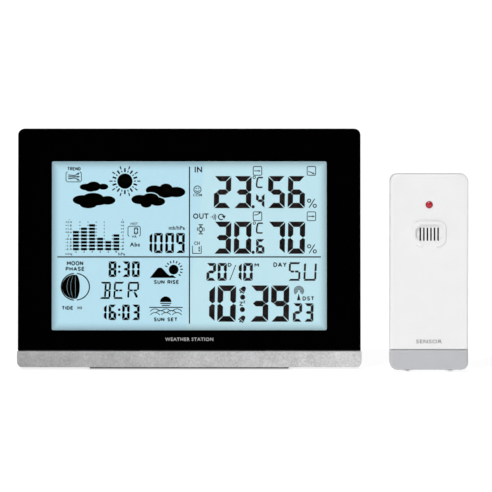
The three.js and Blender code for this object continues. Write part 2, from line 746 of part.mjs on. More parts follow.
function sensorLowerCap() {
  const { corner, wall, round } = CASE;
  const corners = [corner, corner, 0.3, 0.3];
  const shell = softBlock(-CASE_HALF, CASE_HALF, 0.3, CASE_PARTING, 0, CAP_HEIGHT, corners, { front: round });
  const inner = CASE_HALF - wall;
  return cut(shell, block(-inner, inner, 0.3 + wall, CASE_PARTING + 1, wall, CAP_HEIGHT + 1, 2, 3));
}

function ledLens() {
  const profile = [
    [0, 0.5],
    [1, 0.4],
    [1.7, 0.1],
    [1.95, -0.3],
    [1.95, -2],
    [2.9, -2],
    [2.9, -2.8],
    [0, -2.8],
  ];
  return turned([...profile].reverse()).rotateX(Math.PI / 2);
}

function sensorSeal() {
  const { height, wall } = CASE;
  const [outer, inner] = [wall + 0.25, wall + 1.15];
  const ring = block(-CASE_HALF + outer, CASE_HALF - outer, 9.8, 12.4, outer, height - outer, 2.4, 3);
  return cut(ring, block(-CASE_HALF + inner, CASE_HALF - inner, 9, 13, inner, height - inner, 1.8, 3));
}

// The switch panel above the cells, with a slot for the channel slider and a hole for the reset button.
function switchPanel() {
  const { top, halfWidth } = CELL_BAY;
  const well = block(-halfWidth - 1.2, halfWidth + 1.2, 14.9, 21, top - 1, SENSOR_DOOR.top);
  const hollow = block(-halfWidth, halfWidth, 16.1, 24, top - 2, SENSOR_DOOR.top - 1.2);
  return { well, hollow };
}

function sensorBackShell() {
  const { height, corner, depth, wall } = CASE;
  const front = CASE_PARTING + GAP;
  const shell = softBlock(-CASE_HALF, CASE_HALF, front, depth, 0, height, corner, { back: 3 });
  const inside = CASE_HALF - wall;
  const hollow = block(-inside, inside, front - 1, depth - wall, wall, height - wall, 2.4, 3);
  const { bottom, top, halfWidth, floor } = CELL_BAY;
  const tub = block(-halfWidth - 1.2, halfWidth + 1.2, floor - 1.2, depth - 0.5, bottom - 1.2, top + 1.2);
  const bay = block(-halfWidth, halfWidth, floor, depth + 1, bottom, top);
  const { well, hollow: wellHollow } = switchPanel();
  const door = SENSOR_DOOR;
  const rebate = block(
    -door.halfWidth - GAP,
    door.halfWidth + GAP,
    depth - door.thick - GAP,
    depth + 1,
    door.bottom - GAP,
    door.top + GAP,
    1.2,
    3,
  );
  const rim = 1.6;
  const ledge = block(
    -door.halfWidth - rim,
    door.halfWidth + rim,
    depth - 3.2,
    depth - 0.4,
    door.bottom - rim,
    door.top + rim,
  );
  const bosses = SENSOR_POSTS.map(([x, z]) => rod(x, z, 14.5, depth - 1, 3.4, 14));
  const headHole = ([x, z]) => rod(x, z, 18.2, depth + 1, 2.6, 14);
  const shankHole = ([x, z]) => rod(x, z, 14, 19, 1.45, 10);
  const screwHoles = [...SENSOR_POSTS.map(headHole), ...SENSOR_POSTS.map(shankHole)];
  const slider = block(SWITCH.x - 3.4, SWITCH.x + 3.4, 14, 17, SWITCH.z - 1.4, SWITCH.z + 1.4);
  const tabSlots = [-1, 1].map((side) => block(side * TOE.x - 3.3, side * TOE.x + 3.3, 14.6, 17.2, -1, 4));
  return cut(
    join(cut(shell, hollow), cut(join(tub, well, ledge), bay, wellHollow), ...bosses),
    bay,
    wellHollow,
    rebate,
    slider,
    rod(RESET.x, RESET.z, 14, 17, 1.9, 14),
    ...screwHoles,
    ...tabSlots,
    keyhole(0, 99, 3.8, 1.9, 6, depth - 3, depth + 1),
  );
}

function sensorBatteryDoor() {
  const { halfWidth, bottom, top, thick } = SENSOR_DOOR;
  const { depth } = CASE;
  const plate = block(-halfWidth, halfWidth, depth - thick, depth, bottom, top, 1, 3);
  const grip = (z) => block(-8, 8, depth - 0.1, depth + 0.5, z, z + 1);
  const grips = [0, 1, 2, 3, 4].map((i) => grip(20 + i * GRIP_PITCH));
  const snap = block(-5, 5, depth - 3.6, depth - thick + 0.1, top - 3.2, top - 2);
  return join(plate, ...grips, snap);
}

// ---------------------------------------------------------------- outdoor sensor: electronics

function sensorBoard() {
  const [front, back] = [9.2, 10.6];
  const board = block(-19.6, 19.6, front, back, 77, 108);
  const led = rod(0, LED_Z, 4.4, front + 0.2, 1.5, 14);
  const switchBody = block(SWITCH.x - 5.5, SWITCH.x + 5.5, back - 0.1, 13.2, SWITCH.z - 2.6, SWITCH.z + 2.6);
  const tact = join(
    block(RESET.x - 3, RESET.x + 3, back - 0.1, 13, RESET.z - 3, RESET.z + 3),
    rod(RESET.x, RESET.z, 12.8, 13.3, 1.3, 10),
  );
  const chip = block(-12, -4, back - 0.1, 12, 96, 104);
  const crystal = block(8, 16, back - 0.1, 13.4, 100, 104);
  return join(board, led, switchBody, tact, chip, crystal);
}

function channelSlider() {
  return join(block(-1.1, 1.1, 0, 4, -1, 1), block(-2.1, 2.1, -0.2, 0.6, -1.6, 1.6));
}

function resetButton() {
  return join(rod(0, 0, -2.2, 0.8, 1.5, 14), rod(0, 0, -2.4, -1.7, 2.4, 14));
}

function sensorAntenna() {
  return wire(new Helix(2.3, 2.3, 17, 4), 0.4, 32, 5);
}

// ---------------------------------------------------------------- outdoor sensor: stand

function sensorStand() {
  const { x, width, height } = TOE;
  const [front, back, behind] = [0.8, 44, CASE.depth + 0.5];
  const runner = (side) => {
    const [x0, x1] = [side * x - width / 2, side * x + width / 2];
    const profile = [
      [front, -height],
      [back, -height],
      [back, 1.2],
      [behind, 2.6],
      [behind, -0.3],
      [front, -0.3],
    ];
    const sole = swept(points2(...profile), x0, x1);
    const tab = block(side * x - 3, side * x + 3, 15, 16.8, -height, 4.4, 0.8, 2);
    return join(sole, tab);
  };
  const bridge = block(-x - width / 2, x + width / 2, 27, 41, -height, 0.2);
  return join(runner(-1), runner(1), bridge);
}

// ---------------------------------------------------------------- outdoor sensor: assembly

function addSensor() {
  const add = (...settings) => piece(sensor, ...settings);
  add("sensor_front_shell", WHITE, sensorFrontShell());
  add("sensor_lower_cap", GREY, sensorLowerCap());
  add("sensor_led_lens", RED_LENS, ledLens(), 0, 0, LED_Z);
  add("sensor_seal", RUBBER, sensorSeal());
  add("sensor_board", BOARD_GREEN, sensorBoard());
  add("sensor_probe", WHITE, block(-4, 4, 4.6, 8.9, -4, 4), 0, 0, VENT.z);
  add("sensor_antenna", COPPER, sensorAntenna(), 15.8, 5.8, 80);
  add("sensor_back_shell", WHITE, sensorBackShell());
  add("sensor_battery_door", WHITE, sensorBatteryDoor());
  add("channel_slider", BLACK_PLASTIC, channelSlider(), SWITCH.x - SWITCH.travel / 2, 13.6, SWITCH.z);
  add("reset_button", BLACK_PLASTIC, resetButton(), RESET.x, 16.3, RESET.z);
  SENSOR_POSTS.forEach(([x, z], i) => add("sensor_screw_" + (i + 1), STEEL, screw(2.2, 8), x, 18.5, z));
  add("sensor_stand", WHITE, sensorStand());
  addSensorCells(add);
}

// Two cells stand side by side: the left one's nub is up, the right one's is down.
function addSensorCells(add) {
  const [x, depth, springLength] = [7.6, 12.8, 3.1];
  const { bottom, top } = CELL_BAY;
  const nubInset = 1.3;
  add("sensor_cell_1", CELL_SKIN, cell(), -x, depth, top - nubInset - CELL.length / 2);
  add("sensor_cell_2", CELL_SKIN, cell(), x, depth, bottom + nubInset + CELL.length / 2).rotation.y = Math.PI;
  add("sensor_contact_minus", STEEL, contact([0], [], springLength), -x, depth, bottom + 0.15);
  add("sensor_contact_plus", STEEL, contact([], [0], springLength), x, depth, bottom + 0.15);
  const bridge = add("sensor_contact_bridge", STEEL, contact([-x], [x], springLength), 0, depth, top - 0.15);
  bridge.rotation.y = Math.PI;
}

// ---------------------------------------------------------------- placing the two units

addStation();
station.rotation.x = -LEAN;
station.position.set(0, -BODY_FRONT, FLOOR_GAP);

addSensor();
sensor.position.set(SENSOR_X, -SENSOR_FRONT, TOE.height);

export default set;
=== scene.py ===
"""A home weather station: a wide desk display unit on its table stand, and its outdoor sensor.

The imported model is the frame. This script gives the shells their fine surfaces, draws the lit display,
and lights the set on a pale floor. Lengths are millimetres in each unit's own frame (+X right, +Y from
its front face to its back, +Z up its front face) until a mesh is made, when they become metres.
"""

import json
import math

import bmesh
import bpy
from mathutils import Matrix, Vector


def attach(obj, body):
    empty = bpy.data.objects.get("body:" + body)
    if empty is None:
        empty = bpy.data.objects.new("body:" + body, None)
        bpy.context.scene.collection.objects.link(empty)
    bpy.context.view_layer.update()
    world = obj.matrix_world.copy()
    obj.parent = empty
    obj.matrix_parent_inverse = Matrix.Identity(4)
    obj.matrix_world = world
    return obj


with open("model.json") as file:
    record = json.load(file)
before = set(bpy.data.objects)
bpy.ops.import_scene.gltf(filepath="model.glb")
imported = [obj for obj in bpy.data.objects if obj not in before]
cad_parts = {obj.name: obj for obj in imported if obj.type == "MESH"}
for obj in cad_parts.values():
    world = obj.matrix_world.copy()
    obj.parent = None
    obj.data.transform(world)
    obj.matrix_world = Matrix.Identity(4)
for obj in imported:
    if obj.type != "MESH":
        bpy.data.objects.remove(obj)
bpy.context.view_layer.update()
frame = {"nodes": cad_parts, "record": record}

MM = 0.001


def mount(name):
    return next(m for m in frame["record"]["mounts"] if m["name"] == name)


# ------------------------------------------------------------------ the two units' frames

wall_axis = mount("wall_rest")["axis"]
LEAN = math.atan2(-wall_axis[2], wall_axis[1])  # the display unit leans back by this much
BODY_FRONT, FLOOR_GAP = 30, 0.95  # the display unit's origin: ahead of the frame's, and above the table
STATION = Matrix.Translation((0, -BODY_FRONT * MM, FLOOR_GAP * MM)) @ Matrix.Rotation(-LEAN, 4, "X")
SENSOR_X = mount("sensor_desk_rest")["pos_m"][0]
SENSOR_FRONT, SENSOR_FOOT = 51, 1.3  # the same two distances for the sensor
SENSOR = Matrix.Translation((SENSOR_X, -SENSOR_FRONT * MM, SENSOR_FOOT * MM))

# The opening that shows the lit panel, on the display unit's front
WINDOW_WIDTH, WINDOW_HEIGHT, WINDOW_BOTTOM = 166, 102.1, 22.9
WINDOW_TOP = WINDOW_BOTTOM + WINDOW_HEIGHT

# ------------------------------------------------------------------ camera

CAMERA_ELEVATION = math.radians(3)
CAMERA_DISTANCE = 3.5
CAMERA_TARGET = Vector((34.26 * MM, -22.3 * MM, 74.3 * MM))
VIEW_WIDTH = 297.1 * MM  # what the picture is wide, at the target
FILM_WIDTH = 36
VIEW_END = 50  # metres; the floor's corners lie within it


def make_camera():
    data = bpy.data.cameras.new("camera")
    camera = bpy.data.objects.new("camera", data)
    bpy.context.scene.collection.objects.link(camera)
    away = Vector((0, -math.cos(CAMERA_ELEVATION), math.sin(CAMERA_ELEVATION)))
    camera.location = CAMERA_TARGET + away * CAMERA_DISTANCE
    camera.rotation_euler = (-away).to_track_quat("-Z", "Y").to_euler()
    data.sensor_width = FILM_WIDTH
    data.lens = data.sensor_width * CAMERA_DISTANCE / VIEW_WIDTH
    data.clip_end = VIEW_END
    bpy.context.scene.camera = camera


make_camera()

# ------------------------------------------------------------------ materials

NOISE_MIDDLE = (0.3, 0.7)  # nearly all of a noise's values lie between these
RAMP_SOCKETS = ("From Min", "From Max", "To Min", "To Max")


class Nodes:
    """A material with a Principled shader, and short calls to add nodes to it."""

    def __init__(self, name, **values):
        self.material = bpy.data.materials.new(name)
        self.material.use_nodes = True
        self.tree = self.material.node_tree
        self.shader = self.tree.nodes["Principled BSDF"]
        for socket, value in values.items():
            self.shader.inputs[socket.replace("_", " ")].default_value = value
        self.coordinates = self.add("ShaderNodeTexCoord").outputs["Object"]

    def add(self, kind, **settings):
        node = self.tree.nodes.new(kind)
        for key, value in settings.items():
            setattr(node, key, value)
        return node

    def link(self, source, target):
        self.tree.links.new(source, target)

    def put(self, value, target):
        if isinstance(value, bpy.types.NodeSocket):
            self.link(value, target)
        else:
            target.default_value = value

    def math(self, operation, *values):
        node = self.add("ShaderNodeMath", operation=operation)
        for value, target in zip(values, node.inputs):
            self.put(value, target)
        return node.outputs[0]

    def noise(self, size, detail=2, roughness=0.5):
        """Noise whose blotches are about size millimetres across."""
        node = self.add("ShaderNodeTexNoise")
        node.inputs["Scale"].default_value = 1 / (size * MM)
        node.inputs["Detail"].default_value = detail
        node.inputs["Roughness"].default_value = roughness
        self.link(self.coordinates, node.inputs["Vector"])
        return node.outputs["Fac"]

    def spread(self, value, low, high):
        """Maps the middle of a noise to a range."""
        return self.ramp(value, *NOISE_MIDDLE, low, high)

    def ramp(self, value, start, end, low=0.0, high=1.0):
        """Maps start to end onto low to high."""
        node = self.add("ShaderNodeMapRange")
        self.link(value, node.inputs["Value"])
        for socket, number in zip(RAMP_SOCKETS, (start, end, low, high)):
            node.inputs[socket].default_value = number
        return node.outputs["Result"]

    def rough(self, noise, low, high):
        """Lets the roughness wander between two values with the noise."""
        self.link(self.spread(noise, low, high), self.shader.inputs["Roughness"])

    def scale(self, colour, factor):
        node = self.add("ShaderNodeVectorMath", operation="SCALE")
        self.link(colour, node.inputs[0])
        self.link(factor, node.inputs["Scale"])
        return node.outputs["Vector"]

    def across(self):
        """How far to the right a point lies, in the object's own metres."""
        node = self.add("ShaderNodeSeparateXYZ")
        self.link(self.coordinates, node.inputs[0])
        return node.outputs["X"]

    def mix(self, factor, first, second):
        node = self.add("ShaderNodeMix", data_type="RGBA")
        self.put(factor, node.inputs["Factor"])
        self.put(first, node.inputs["A"])
        self.put(second, node.inputs["B"])
        return node.outputs["Result"]

    def shade(self, noise, colour, spread):
        """Sets the base colour, lighter and darker by spread with the noise."""
        dark = [c * (1 - spread) for c in colour] + [1]
        light = [c * (1 + spread) for c in colour] + [1]
        self.link(self.mix(self.spread(noise, 0, 1), dark, light), self.shader.inputs["Base Color"])

    def bump(self, height, distance, strength=1.0):
        node = self.add("ShaderNodeBump")
        node.inputs["Distance"].default_value = distance * MM
        node.inputs["Strength"].default_value = strength
        self.link(height, node.inputs["Height"])
        self.link(node.outputs["Normal"], self.shader.inputs["Normal"])


def piano_black():
    made = Nodes("piano_black", Roughness=0.06, IOR=1.5)
    made.shade(made.noise(40), (0.0003, 0.0003, 0.0004), 0.2)
    made.rough(made.noise(3, 4), 0.045, 0.085)
    return made.material


def clear_window():
    made = Nodes("clear_window", IOR=1.45, Transmission_Weight=1.0)
    made.shader.inputs["Base Color"].default_value = (1, 1, 1, 1)
    made.rough(made.noise(5, 3), 0.0, 0.012)
    return made.material


def silver_paint(name, slope, flake, dark, light):
    """Metallic paint under a satin clear coat: speckle about flake millimetres across, between two greys.
    Painted light: the colour grows lighter from left to right, by slope over 100 mm, as if the right were
    lit more strongly."""
    made = Nodes(name, Metallic=0.3, Coat_Weight=0.2, Coat_Roughness=0.3)
    flakes = made.noise(flake, 3, 0.75)
    clouds = made.noise(flake * 7, 2)
    speckle = made.math("ADD", made.math("MULTIPLY", flakes, 0.7), made.math("MULTIPLY", clouds, 0.3))
    # painted light: lightens the colour towards the right by slope per 100 mm
    painted_light_gain = made.math("MULTIPLY_ADD", made.across(), slope / (100 * MM), 1.0)
    cool = 1.01  # a trace of blue in both greys
    greys = [(grey, grey, grey * cool, 1) for grey in (dark, light)]
    colour = made.mix(made.spread(speckle, 0, 1), *greys)
    made.link(made.scale(colour, painted_light_gain), made.shader.inputs["Base Color"])
    made.rough(flakes, 0.4, 0.55)
    made.bump(flakes, 0.03, 0.5)
    return made.material


def moulded(name, colour, roughness, grain=0.25, depth=0.01, spread=0.03, gloss=0.5):
    """Moulded plastic: a fine spark texture, slightly uneven in colour and sheen."""
    made = Nodes(name, Specular_IOR_Level=gloss)
    made.shade(made.noise(9, 3), colour, spread)
    made.rough(made.noise(4, 3), roughness * 0.88, roughness * 1.12)
    made.bump(made.noise(grain, 2), depth, 0.6)
    return made.material


def red_lens():
    made = Nodes("red_lens", Roughness=0.12, IOR=1.49, Emission_Strength=1.0)
    made.shade(made.noise(1.5, 2), (0.40, 0.012, 0.022), 0.15)
    made.shader.inputs["Emission Color"].default_value = (0.07, 0.002, 0.005, 1)
    made.rough(made.noise(0.8), 0.08, 0.16)
    return made.material


def metal(name, colour, roughness, grain):
    made = Nodes(name, Metallic=1.0)
    made.shade(made.noise(grain * 4), colour, 0.06)
    made.rough(made.noise(grain, 3), roughness * 0.8, roughness * 1.25)
    return made.material


def solder_mask():
    made = Nodes("solder_mask")
    made.shade(made.noise(1.2, 1), (0.012, 0.1, 0.035), 0.35)
    made.rough(made.noise(0.6), 0.3, 0.5)
    return made.material


PAINTED_SHADE_REACH, PAINTED_SHADE_DEPTH, PAINTED_SHADE_POWER = 5.4, 0.5, 1.6  # painted shade: the panel's glow is dimmed this near the window's edge, for the shadow of the window opening
REFLECTION_SLANT, REFLECTION_EDGE = 0.1126, (3.4, 4.2)  # painted reflection: a faint glare edge on the slant, just right of the middle
# the panel's own tint, and the same with the painted reflection over it
TINT_LEFT, TINT_WITH_REFLECTION = (0.497, 0.776, 0.896, 1), (0.545, 0.807, 0.888, 1)


def lcd_glass():
    """The lit panel: pale blue, with painted shade dimming it along the window's edge, and a painted
    reflection making it a shade warmer right of a slanted line.
    """
    made = Nodes("lcd_glass", Roughness=0.4, Emission_Strength=1.0)
    made.shader.inputs["Base Color"].default_value = (0.01, 0.012, 0.013, 1)
    x = made.across()
    up = made.add("ShaderNodeVectorMath", operation="DOT_PRODUCT")
    made.link(made.coordinates, up.inputs[0])
    axis = STATION.to_3x3() @ Vector((0, 0, 1))
    up.inputs[1].default_value = axis
    middle = axis.dot(STATION @ Vector((0, 0, (WINDOW_BOTTOM + WINDOW_HEIGHT / 2) * MM)))
    z = made.math("SUBTRACT", up.outputs["Value"], middle)
    # painted shade: the glow dims over the last few millimetres towards the window's edge
    to_side = made.math("SUBTRACT", WINDOW_WIDTH / 2 * MM, made.math("ABSOLUTE", x))
    to_top = made.math("SUBTRACT", WINDOW_HEIGHT / 2 * MM, made.math("ABSOLUTE", z))
    nearest = made.math("MAXIMUM", made.math("MINIMUM", to_side, to_top), 0.0)
    inward = made.math("MINIMUM", made.math("DIVIDE", nearest, PAINTED_SHADE_REACH * MM), 1.0)
    falling = made.math("POWER", made.math("SUBTRACT", 1.0, inward), PAINTED_SHADE_POWER)
    light = made.math("SUBTRACT", 1.0, made.math("MULTIPLY", falling, PAINTED_SHADE_DEPTH))
    # painted reflection: right of a slanted line the glow turns a shade warmer
    slanted = made.math("SUBTRACT", x, made.math("MULTIPLY", z, REFLECTION_SLANT))
    in_reflection = made.ramp(slanted, *[edge * MM for edge in REFLECTION_EDGE])
    tint = made.mix(in_reflection, TINT_LEFT, TINT_WITH_REFLECTION)
    made.link(made.scale(tint, light), made.shader.inputs["Emission Color"])
    return made.material


PIANO_BLACK = piano_black()
CLEAR_WINDOW = clear_window()
SILVER = silver_paint("silver_paint", slope=0.0, flake=0.45, dark=0.46, light=0.6)
# the bar carries painted light: its paint grows 25 % lighter per 100 mm to the right
SILVER_BAR = silver_paint("silver_bar", slope=0.25, flake=1.2, dark=0.37, light=0.68)
WHITE = moulded("white_plastic", (0.86, 0.86, 0.86), 0.42, grain=0.3, depth=0.006, spread=0.008)
GREY = moulded("grey_plastic", (0.52, 0.525, 0.545), 0.42, grain=0.3, depth=0.006, spread=0.015)
BLACK_PLASTIC = moulded("black_plastic", (0.012, 0.012, 0.013), 0.5, grain=0.35, depth=0.02, spread=0.2)
RUBBER = moulded("rubber", (0.011, 0.011, 0.012), 0.85, grain=0.6, depth=0.04, spread=0.25)
MILKY = moulded("milky_plastic", (0.8, 0.81, 0.81), 0.5)
INK_DARK = moulded("segments_dark", (0.0035, 0.0028, 0.0015), 0.6, spread=0.1, gloss=0)
# painted reflection: the segments right of the upright divider are lifted from black to dark brown, as
# under the glare on that half of the window
INK_WITH_REFLECTION = moulded("segments_with_painted_reflection", (0.032, 0.023, 0.023), 0.6, spread=0.1, gloss=0)
INK_SLATE = moulded("divider_slate", (0.05, 0.09, 0.1), 0.6, spread=0.1, gloss=0)
PRINT_LIGHT = moulded("print_light", (0.42, 0.42, 0.43), 0.6)
PRINT_GREY = moulded("print_grey", (0.14, 0.14, 0.145), 0.6)
PRINT_DARK = moulded("print_dark", (0.03, 0.03, 0.032), 0.6)
LABEL_FILM = moulded("label_film", (0.72, 0.72, 0.71), 0.35, grain=0.8, depth=0.004, spread=0.01)
STEEL = metal("nickel_steel", (0.6, 0.6, 0.61), 0.28, grain=0.5)
COPPER = metal("copper_wire", (0.65, 0.3, 0.14), 0.35, grain=0.4)
FERRITE = moulded("ferrite", (0.03, 0.03, 0.032), 0.6, grain=0.8, depth=0.05, spread=0.2)
CELL_SKIN = metal("cell_sleeve", (0.05, 0.15, 0.35), 0.3, grain=2)
RED_LENS = red_lens()
SOLDER_MASK = solder_mask()
LCD_GLASS = lcd_glass()

# ------------------------------------------------------------------ mesh helpers


def outline(x0, x1, z0, z1, radius, steps=12):
    """A rounded rectangle, counter-clockwise seen from the front."""
    left, right, foot, top = x0 + radius, x1 - radius, z0 + radius, z1 - radius
    points = []
    for corner, (x, z) in enumerate(((left, foot), (right, foot), (right, top), (left, top))):
        for i in range(steps + 1):
            angle = math.pi * (1 + corner / 2) + i / steps * math.pi / 2
            points.append((x + radius * math.cos(angle), z + radius * math.sin(angle)))
    return points


LEAST_RADIUS = 0.02  # keeps an inset corner's points apart


def inset_outline(x0, x1, z0, z1, radius, inset, steps=12):
    """The same outline pulled in by inset all round."""
    smaller = max(radius - inset, LEAST_RADIUS)
    return outline(x0 + inset, x1 - inset, z0 + inset, z1 - inset, smaller, steps)


def loft(sections):
    """A closed bmesh through sections of (depth, points) with equal point counts."""
    made = bmesh.new()
    rows = [[made.verts.new((x * MM, y * MM, z * MM)) for x, z in points] for y, points in sections]
    for near, far in zip(rows, rows[1:]):
        for i in range(len(near)):
            j = (i + 1) % len(near)
            made.faces.new((near[i], far[i], far[j], near[j]))
    made.faces.new(rows[0])
    made.faces.new(list(reversed(rows[-1])))
    bmesh.ops.recalc_face_normals(made, faces=made.faces)
    return made


SHARP_ANGLE = math.radians(35)


def finish_object(made, name, material, matrix, body):
    """Turns a bmesh into a smooth-shaded piece that rides on a body."""
    mesh = bpy.data.meshes.new(name)
    made.to_mesh(mesh)
    made.free()
    mesh.materials.append(material)
    piece = bpy.data.objects.new(name, mesh)
    bpy.context.scene.collection.objects.link(piece)
    piece.matrix_world = matrix
    mesh.shade_smooth()
    mesh.set_sharp_from_angle(angle=SHARP_ANGLE)
    weighted = piece.modifiers.new("weighted_normals", "WEIGHTED_NORMAL")
    weighted.keep_sharp = True
    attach(piece, body)


# ------------------------------------------------------------------ CAD nodes that stay

LOOKS = [
    (CLEAR_WINDOW, ["display_window"]),
    (LCD_GLASS, ["lcd_panel"]),
    (MILKY, ["lcd_frame", "backlight_panel"]),
    (RUBBER, ["zebra_strip_upper", "zebra_strip_lower", "stand_pad", "sensor_seal"]),
    (SOLDER_MASK, ["main_board", "receiver_board", "sensor_board"]),
    (FERRITE, ["ferrite_rod"]),
    (COPPER, ["antenna_coil", "sensor_antenna"]),
    (SILVER, ["back_cover", "battery_door", "snooze_bar"]),
    (SILVER_BAR, ["base_bar"]),
    (PIANO_BLACK, ["front_bezel"]),
    (GREY, ["sensor_lower_cap"]),
    (RED_LENS, ["sensor_led_lens"]),
    (WHITE, ["indoor_probe", "sensor_front_shell", "sensor_back_shell"]),
    (WHITE, ["sensor_battery_door", "sensor_stand"]),
    (BLACK_PLASTIC, ["buzzer", "dc_socket", "table_stand"]),
    (BLACK_PLASTIC, ["channel_slider", "reset_button", "sensor_probe"]),
]
FAMILIES = [
    (CELL_SKIN, ("battery_cell_", "sensor_cell_")),
    (BLACK_PLASTIC, ("key_",)),
    (STEEL, ("cover_screw_", "sensor_screw_", "battery_contact_", "sensor_contact_")),
]
WELD_REACH = 0.002
EDGE_WIDTH, EDGE_ANGLE = 0.18, 40  # edges sharper than this many degrees are softened


def look_of(name):
    """The material of a CAD node, by its own name or by its family's."""
    by_name = [material for material, names in LOOKS if name in names]
    by_family = [material for material, starts in FAMILIES if name.startswith(starts)]
    return (by_name + by_family)[0]


def dress_cad_nodes():
    """Gives every CAD node its material, softened edges and even shading."""
    for name, node in frame["nodes"].items():
        node.data.materials.clear()
        node.data.materials.append(look_of(name))
        node.data.shade_smooth()
        weld = node.modifiers.new("weld", "WELD")
        weld.merge_threshold = WELD_REACH * MM
        bevel = node.modifiers.new("bevel", "BEVEL")
        bevel.width = EDGE_WIDTH * MM
        bevel.segments = 2
        bevel.limit_method = "ANGLE"
        bevel.angle_limit = math.radians(EDGE_ANGLE)
        weighted = node.modifiers.new("weighted_normals", "WEIGHTED_NORMAL")
        weighted.keep_sharp = True


dress_cad_nodes()

# ------------------------------------------------------------------ the display's segments

# The layout grid: u to the right and v down, in millimetres from about the window's top left corner. The
# rows above the level divider are drawn out a little, so that the grid begins just above the window.
LAYOUT_MIDDLE, LAYOUT_STRETCH = 83.2, 1.0015
LAYOUT_FOLD, LAYOUT_RISE, LAYOUT_DROP = 58, 0.6, 0.99707
# The segments lie between the window and the lit panel, in layers from the front to the back.
INK_LAYER, GAP_LAYER, REAR_LAYER = (3.42, 3.45), (3.46, 3.49), (3.50, 3.54)
FULL_DEPTH = (INK_LAYER[0], REAR_LAYER[1])

SEVEN = {
    "0": "abcdef",
    "1": "bc",
    "2": "abdeg",
    "3": "abcdg",
    "4": "bcfg",
    "5": "acdfg",
    "6": "acdefg",
    "7": "abc",
    "8": "abcdefg",
    "9": "abcdfg",
}
# Letters on a starburst grid: l and r are the halves of the middle bar, u and v the upper and lower
# centre strokes, x the lower right diagonal.
STARBURST = {"B": "abcdruv", "E": "adeflr", "R": "abeflrx", "S": "acdflr", "U": "bcdef"}
# Small capitals as strokes: the letter's width, then its lines, in letter heights from its top left.
BOW = ((0, 1), (0, 0), (0.5, 0), (0.7, 0.15), (0.7, 0.4), (0.5, 0.55), (0, 0.55))
LETTER_O = ((0.3, 0), (0, 0.3), (0, 0.7), (0.3, 1), (0.6, 1), (0.9, 0.7), (0.9, 0.3), (0.6, 0), (0.3, 0))
UPPER_S = ((0.7, 0.1), (0.5, 0), (0.15, 0), (0, 0.2), (0.1, 0.42))
LOWER_S = ((0.6, 0.58), (0.7, 0.8), (0.55, 1), (0.2, 1), (0, 0.9))
CAPITALS = {
    " ": (0.3,),
    "A": (0.9, ((0, 1), (0.45, 0), (0.9, 1)), ((0.2, 0.68), (0.7, 0.68))),
    "D": (0.8, ((0.4, 1), (0, 1), (0, 0), (0.4, 0), (0.8, 0.3), (0.8, 0.7), (0.4, 1))),
    "E": (0.65, ((0.65, 0), (0, 0), (0, 1), (0.65, 1)), ((0, 0.5), (0.6, 0.5))),
    "H": (0.75, ((0, 0), (0, 1)), ((0.75, 0), (0.75, 1)), ((0, 0.5), (0.75, 0.5))),
    "I": (0.0, ((0, 0), (0, 1))),
    "M": (1.0, ((0, 1), (0, 0), (0.5, 0.65), (1, 0), (1, 1))),
    "N": (0.8, ((0, 1), (0, 0), (0.8, 1), (0.8, 0))),
    "O": (0.9, LETTER_O),
    "P": (0.7, BOW),
    "R": (0.7, BOW, ((0.4, 0.55), (0.7, 1))),
    "S": (0.7, UPPER_S + LOWER_S),
    "T": (0.75, ((0, 0), (0.75, 0)), ((0.375, 0), (0.375, 1))),
    "U": (0.75, ((0, 0), (0, 0.75), (0.2, 1), (0.55, 1), (0.75, 0.75), (0.75, 0))),
    "Y": (0.8, ((0, 0), (0.4, 0.5), (0.8, 0)), ((0.4, 0.5), (0.4, 1))),
}
CAPITAL_GAP = 0.47  # between two letters, in letter heights
LETTER_SPACING = 1.12  # for Blender's own typeface, where 1 is its usual spacing
# How far that typeface's strokes are thickened, in letter sizes
BOLD, FINE, TINY, THIN = 0.032, 0.03, 0.025, 0.012
PRINT_BOLD = 0.02  # the same, for print on the shells


def lettering(words, bold):
    """Words in Blender's own sans serif as points (across 0 to 1, up 0 to 1, in front) and faces."""
    curve = bpy.data.curves.new("lettering", "FONT")
    curve.body, curve.offset, curve.space_character = words, bold, LETTER_SPACING
    curve.resolution_u, curve.extrude = 2, 0.01
    source = bpy.data.objects.new("lettering", curve)
    bpy.context.scene.collection.objects.link(source)
    mesh = source.evaluated_get(bpy.context.evaluated_depsgraph_get()).to_mesh()
    xs, ys = [v.co.x for v in mesh.vertices], [v.co.y for v in mesh.vertices]
    left, foot, wide, high = min(xs), min(ys), max(xs) - min(xs), max(ys) - min(ys)
    points = [((v.co.x - left) / wide, (v.co.y - foot) / high, v.co.z > 0) for v in mesh.vertices]
    faces = [list(face.vertices) for face in mesh.polygons]
    bpy.data.objects.remove(source)
    bpy.data.curves.remove(curve)
    return points, faces


def add_faces(made, placed, faces):
    """Faces through placed points, except where one would be degenerate or there already."""
    for face in faces:
        corners = [placed[i] for i in face]
        if len(set(corners)) == len(corners) and not made.faces.get(corners):
            made.faces.new(corners)


def on_circle(u, v, radius, degrees, squash=1.0):
    angle = math.radians(degrees)
    return u + radius * math.cos(angle), v - radius * squash * math.sin(angle)


def on_window(u, v):
    """The place of a point of the grid, in millimetres of the display unit's frame."""
    rise = LAYOUT_RISE * max(0.0, 1 - v / LAYOUT_FOLD)
    return (u - LAYOUT_MIDDLE) * LAYOUT_STRETCH, WINDOW_TOP + rise - v * LAYOUT_DROP


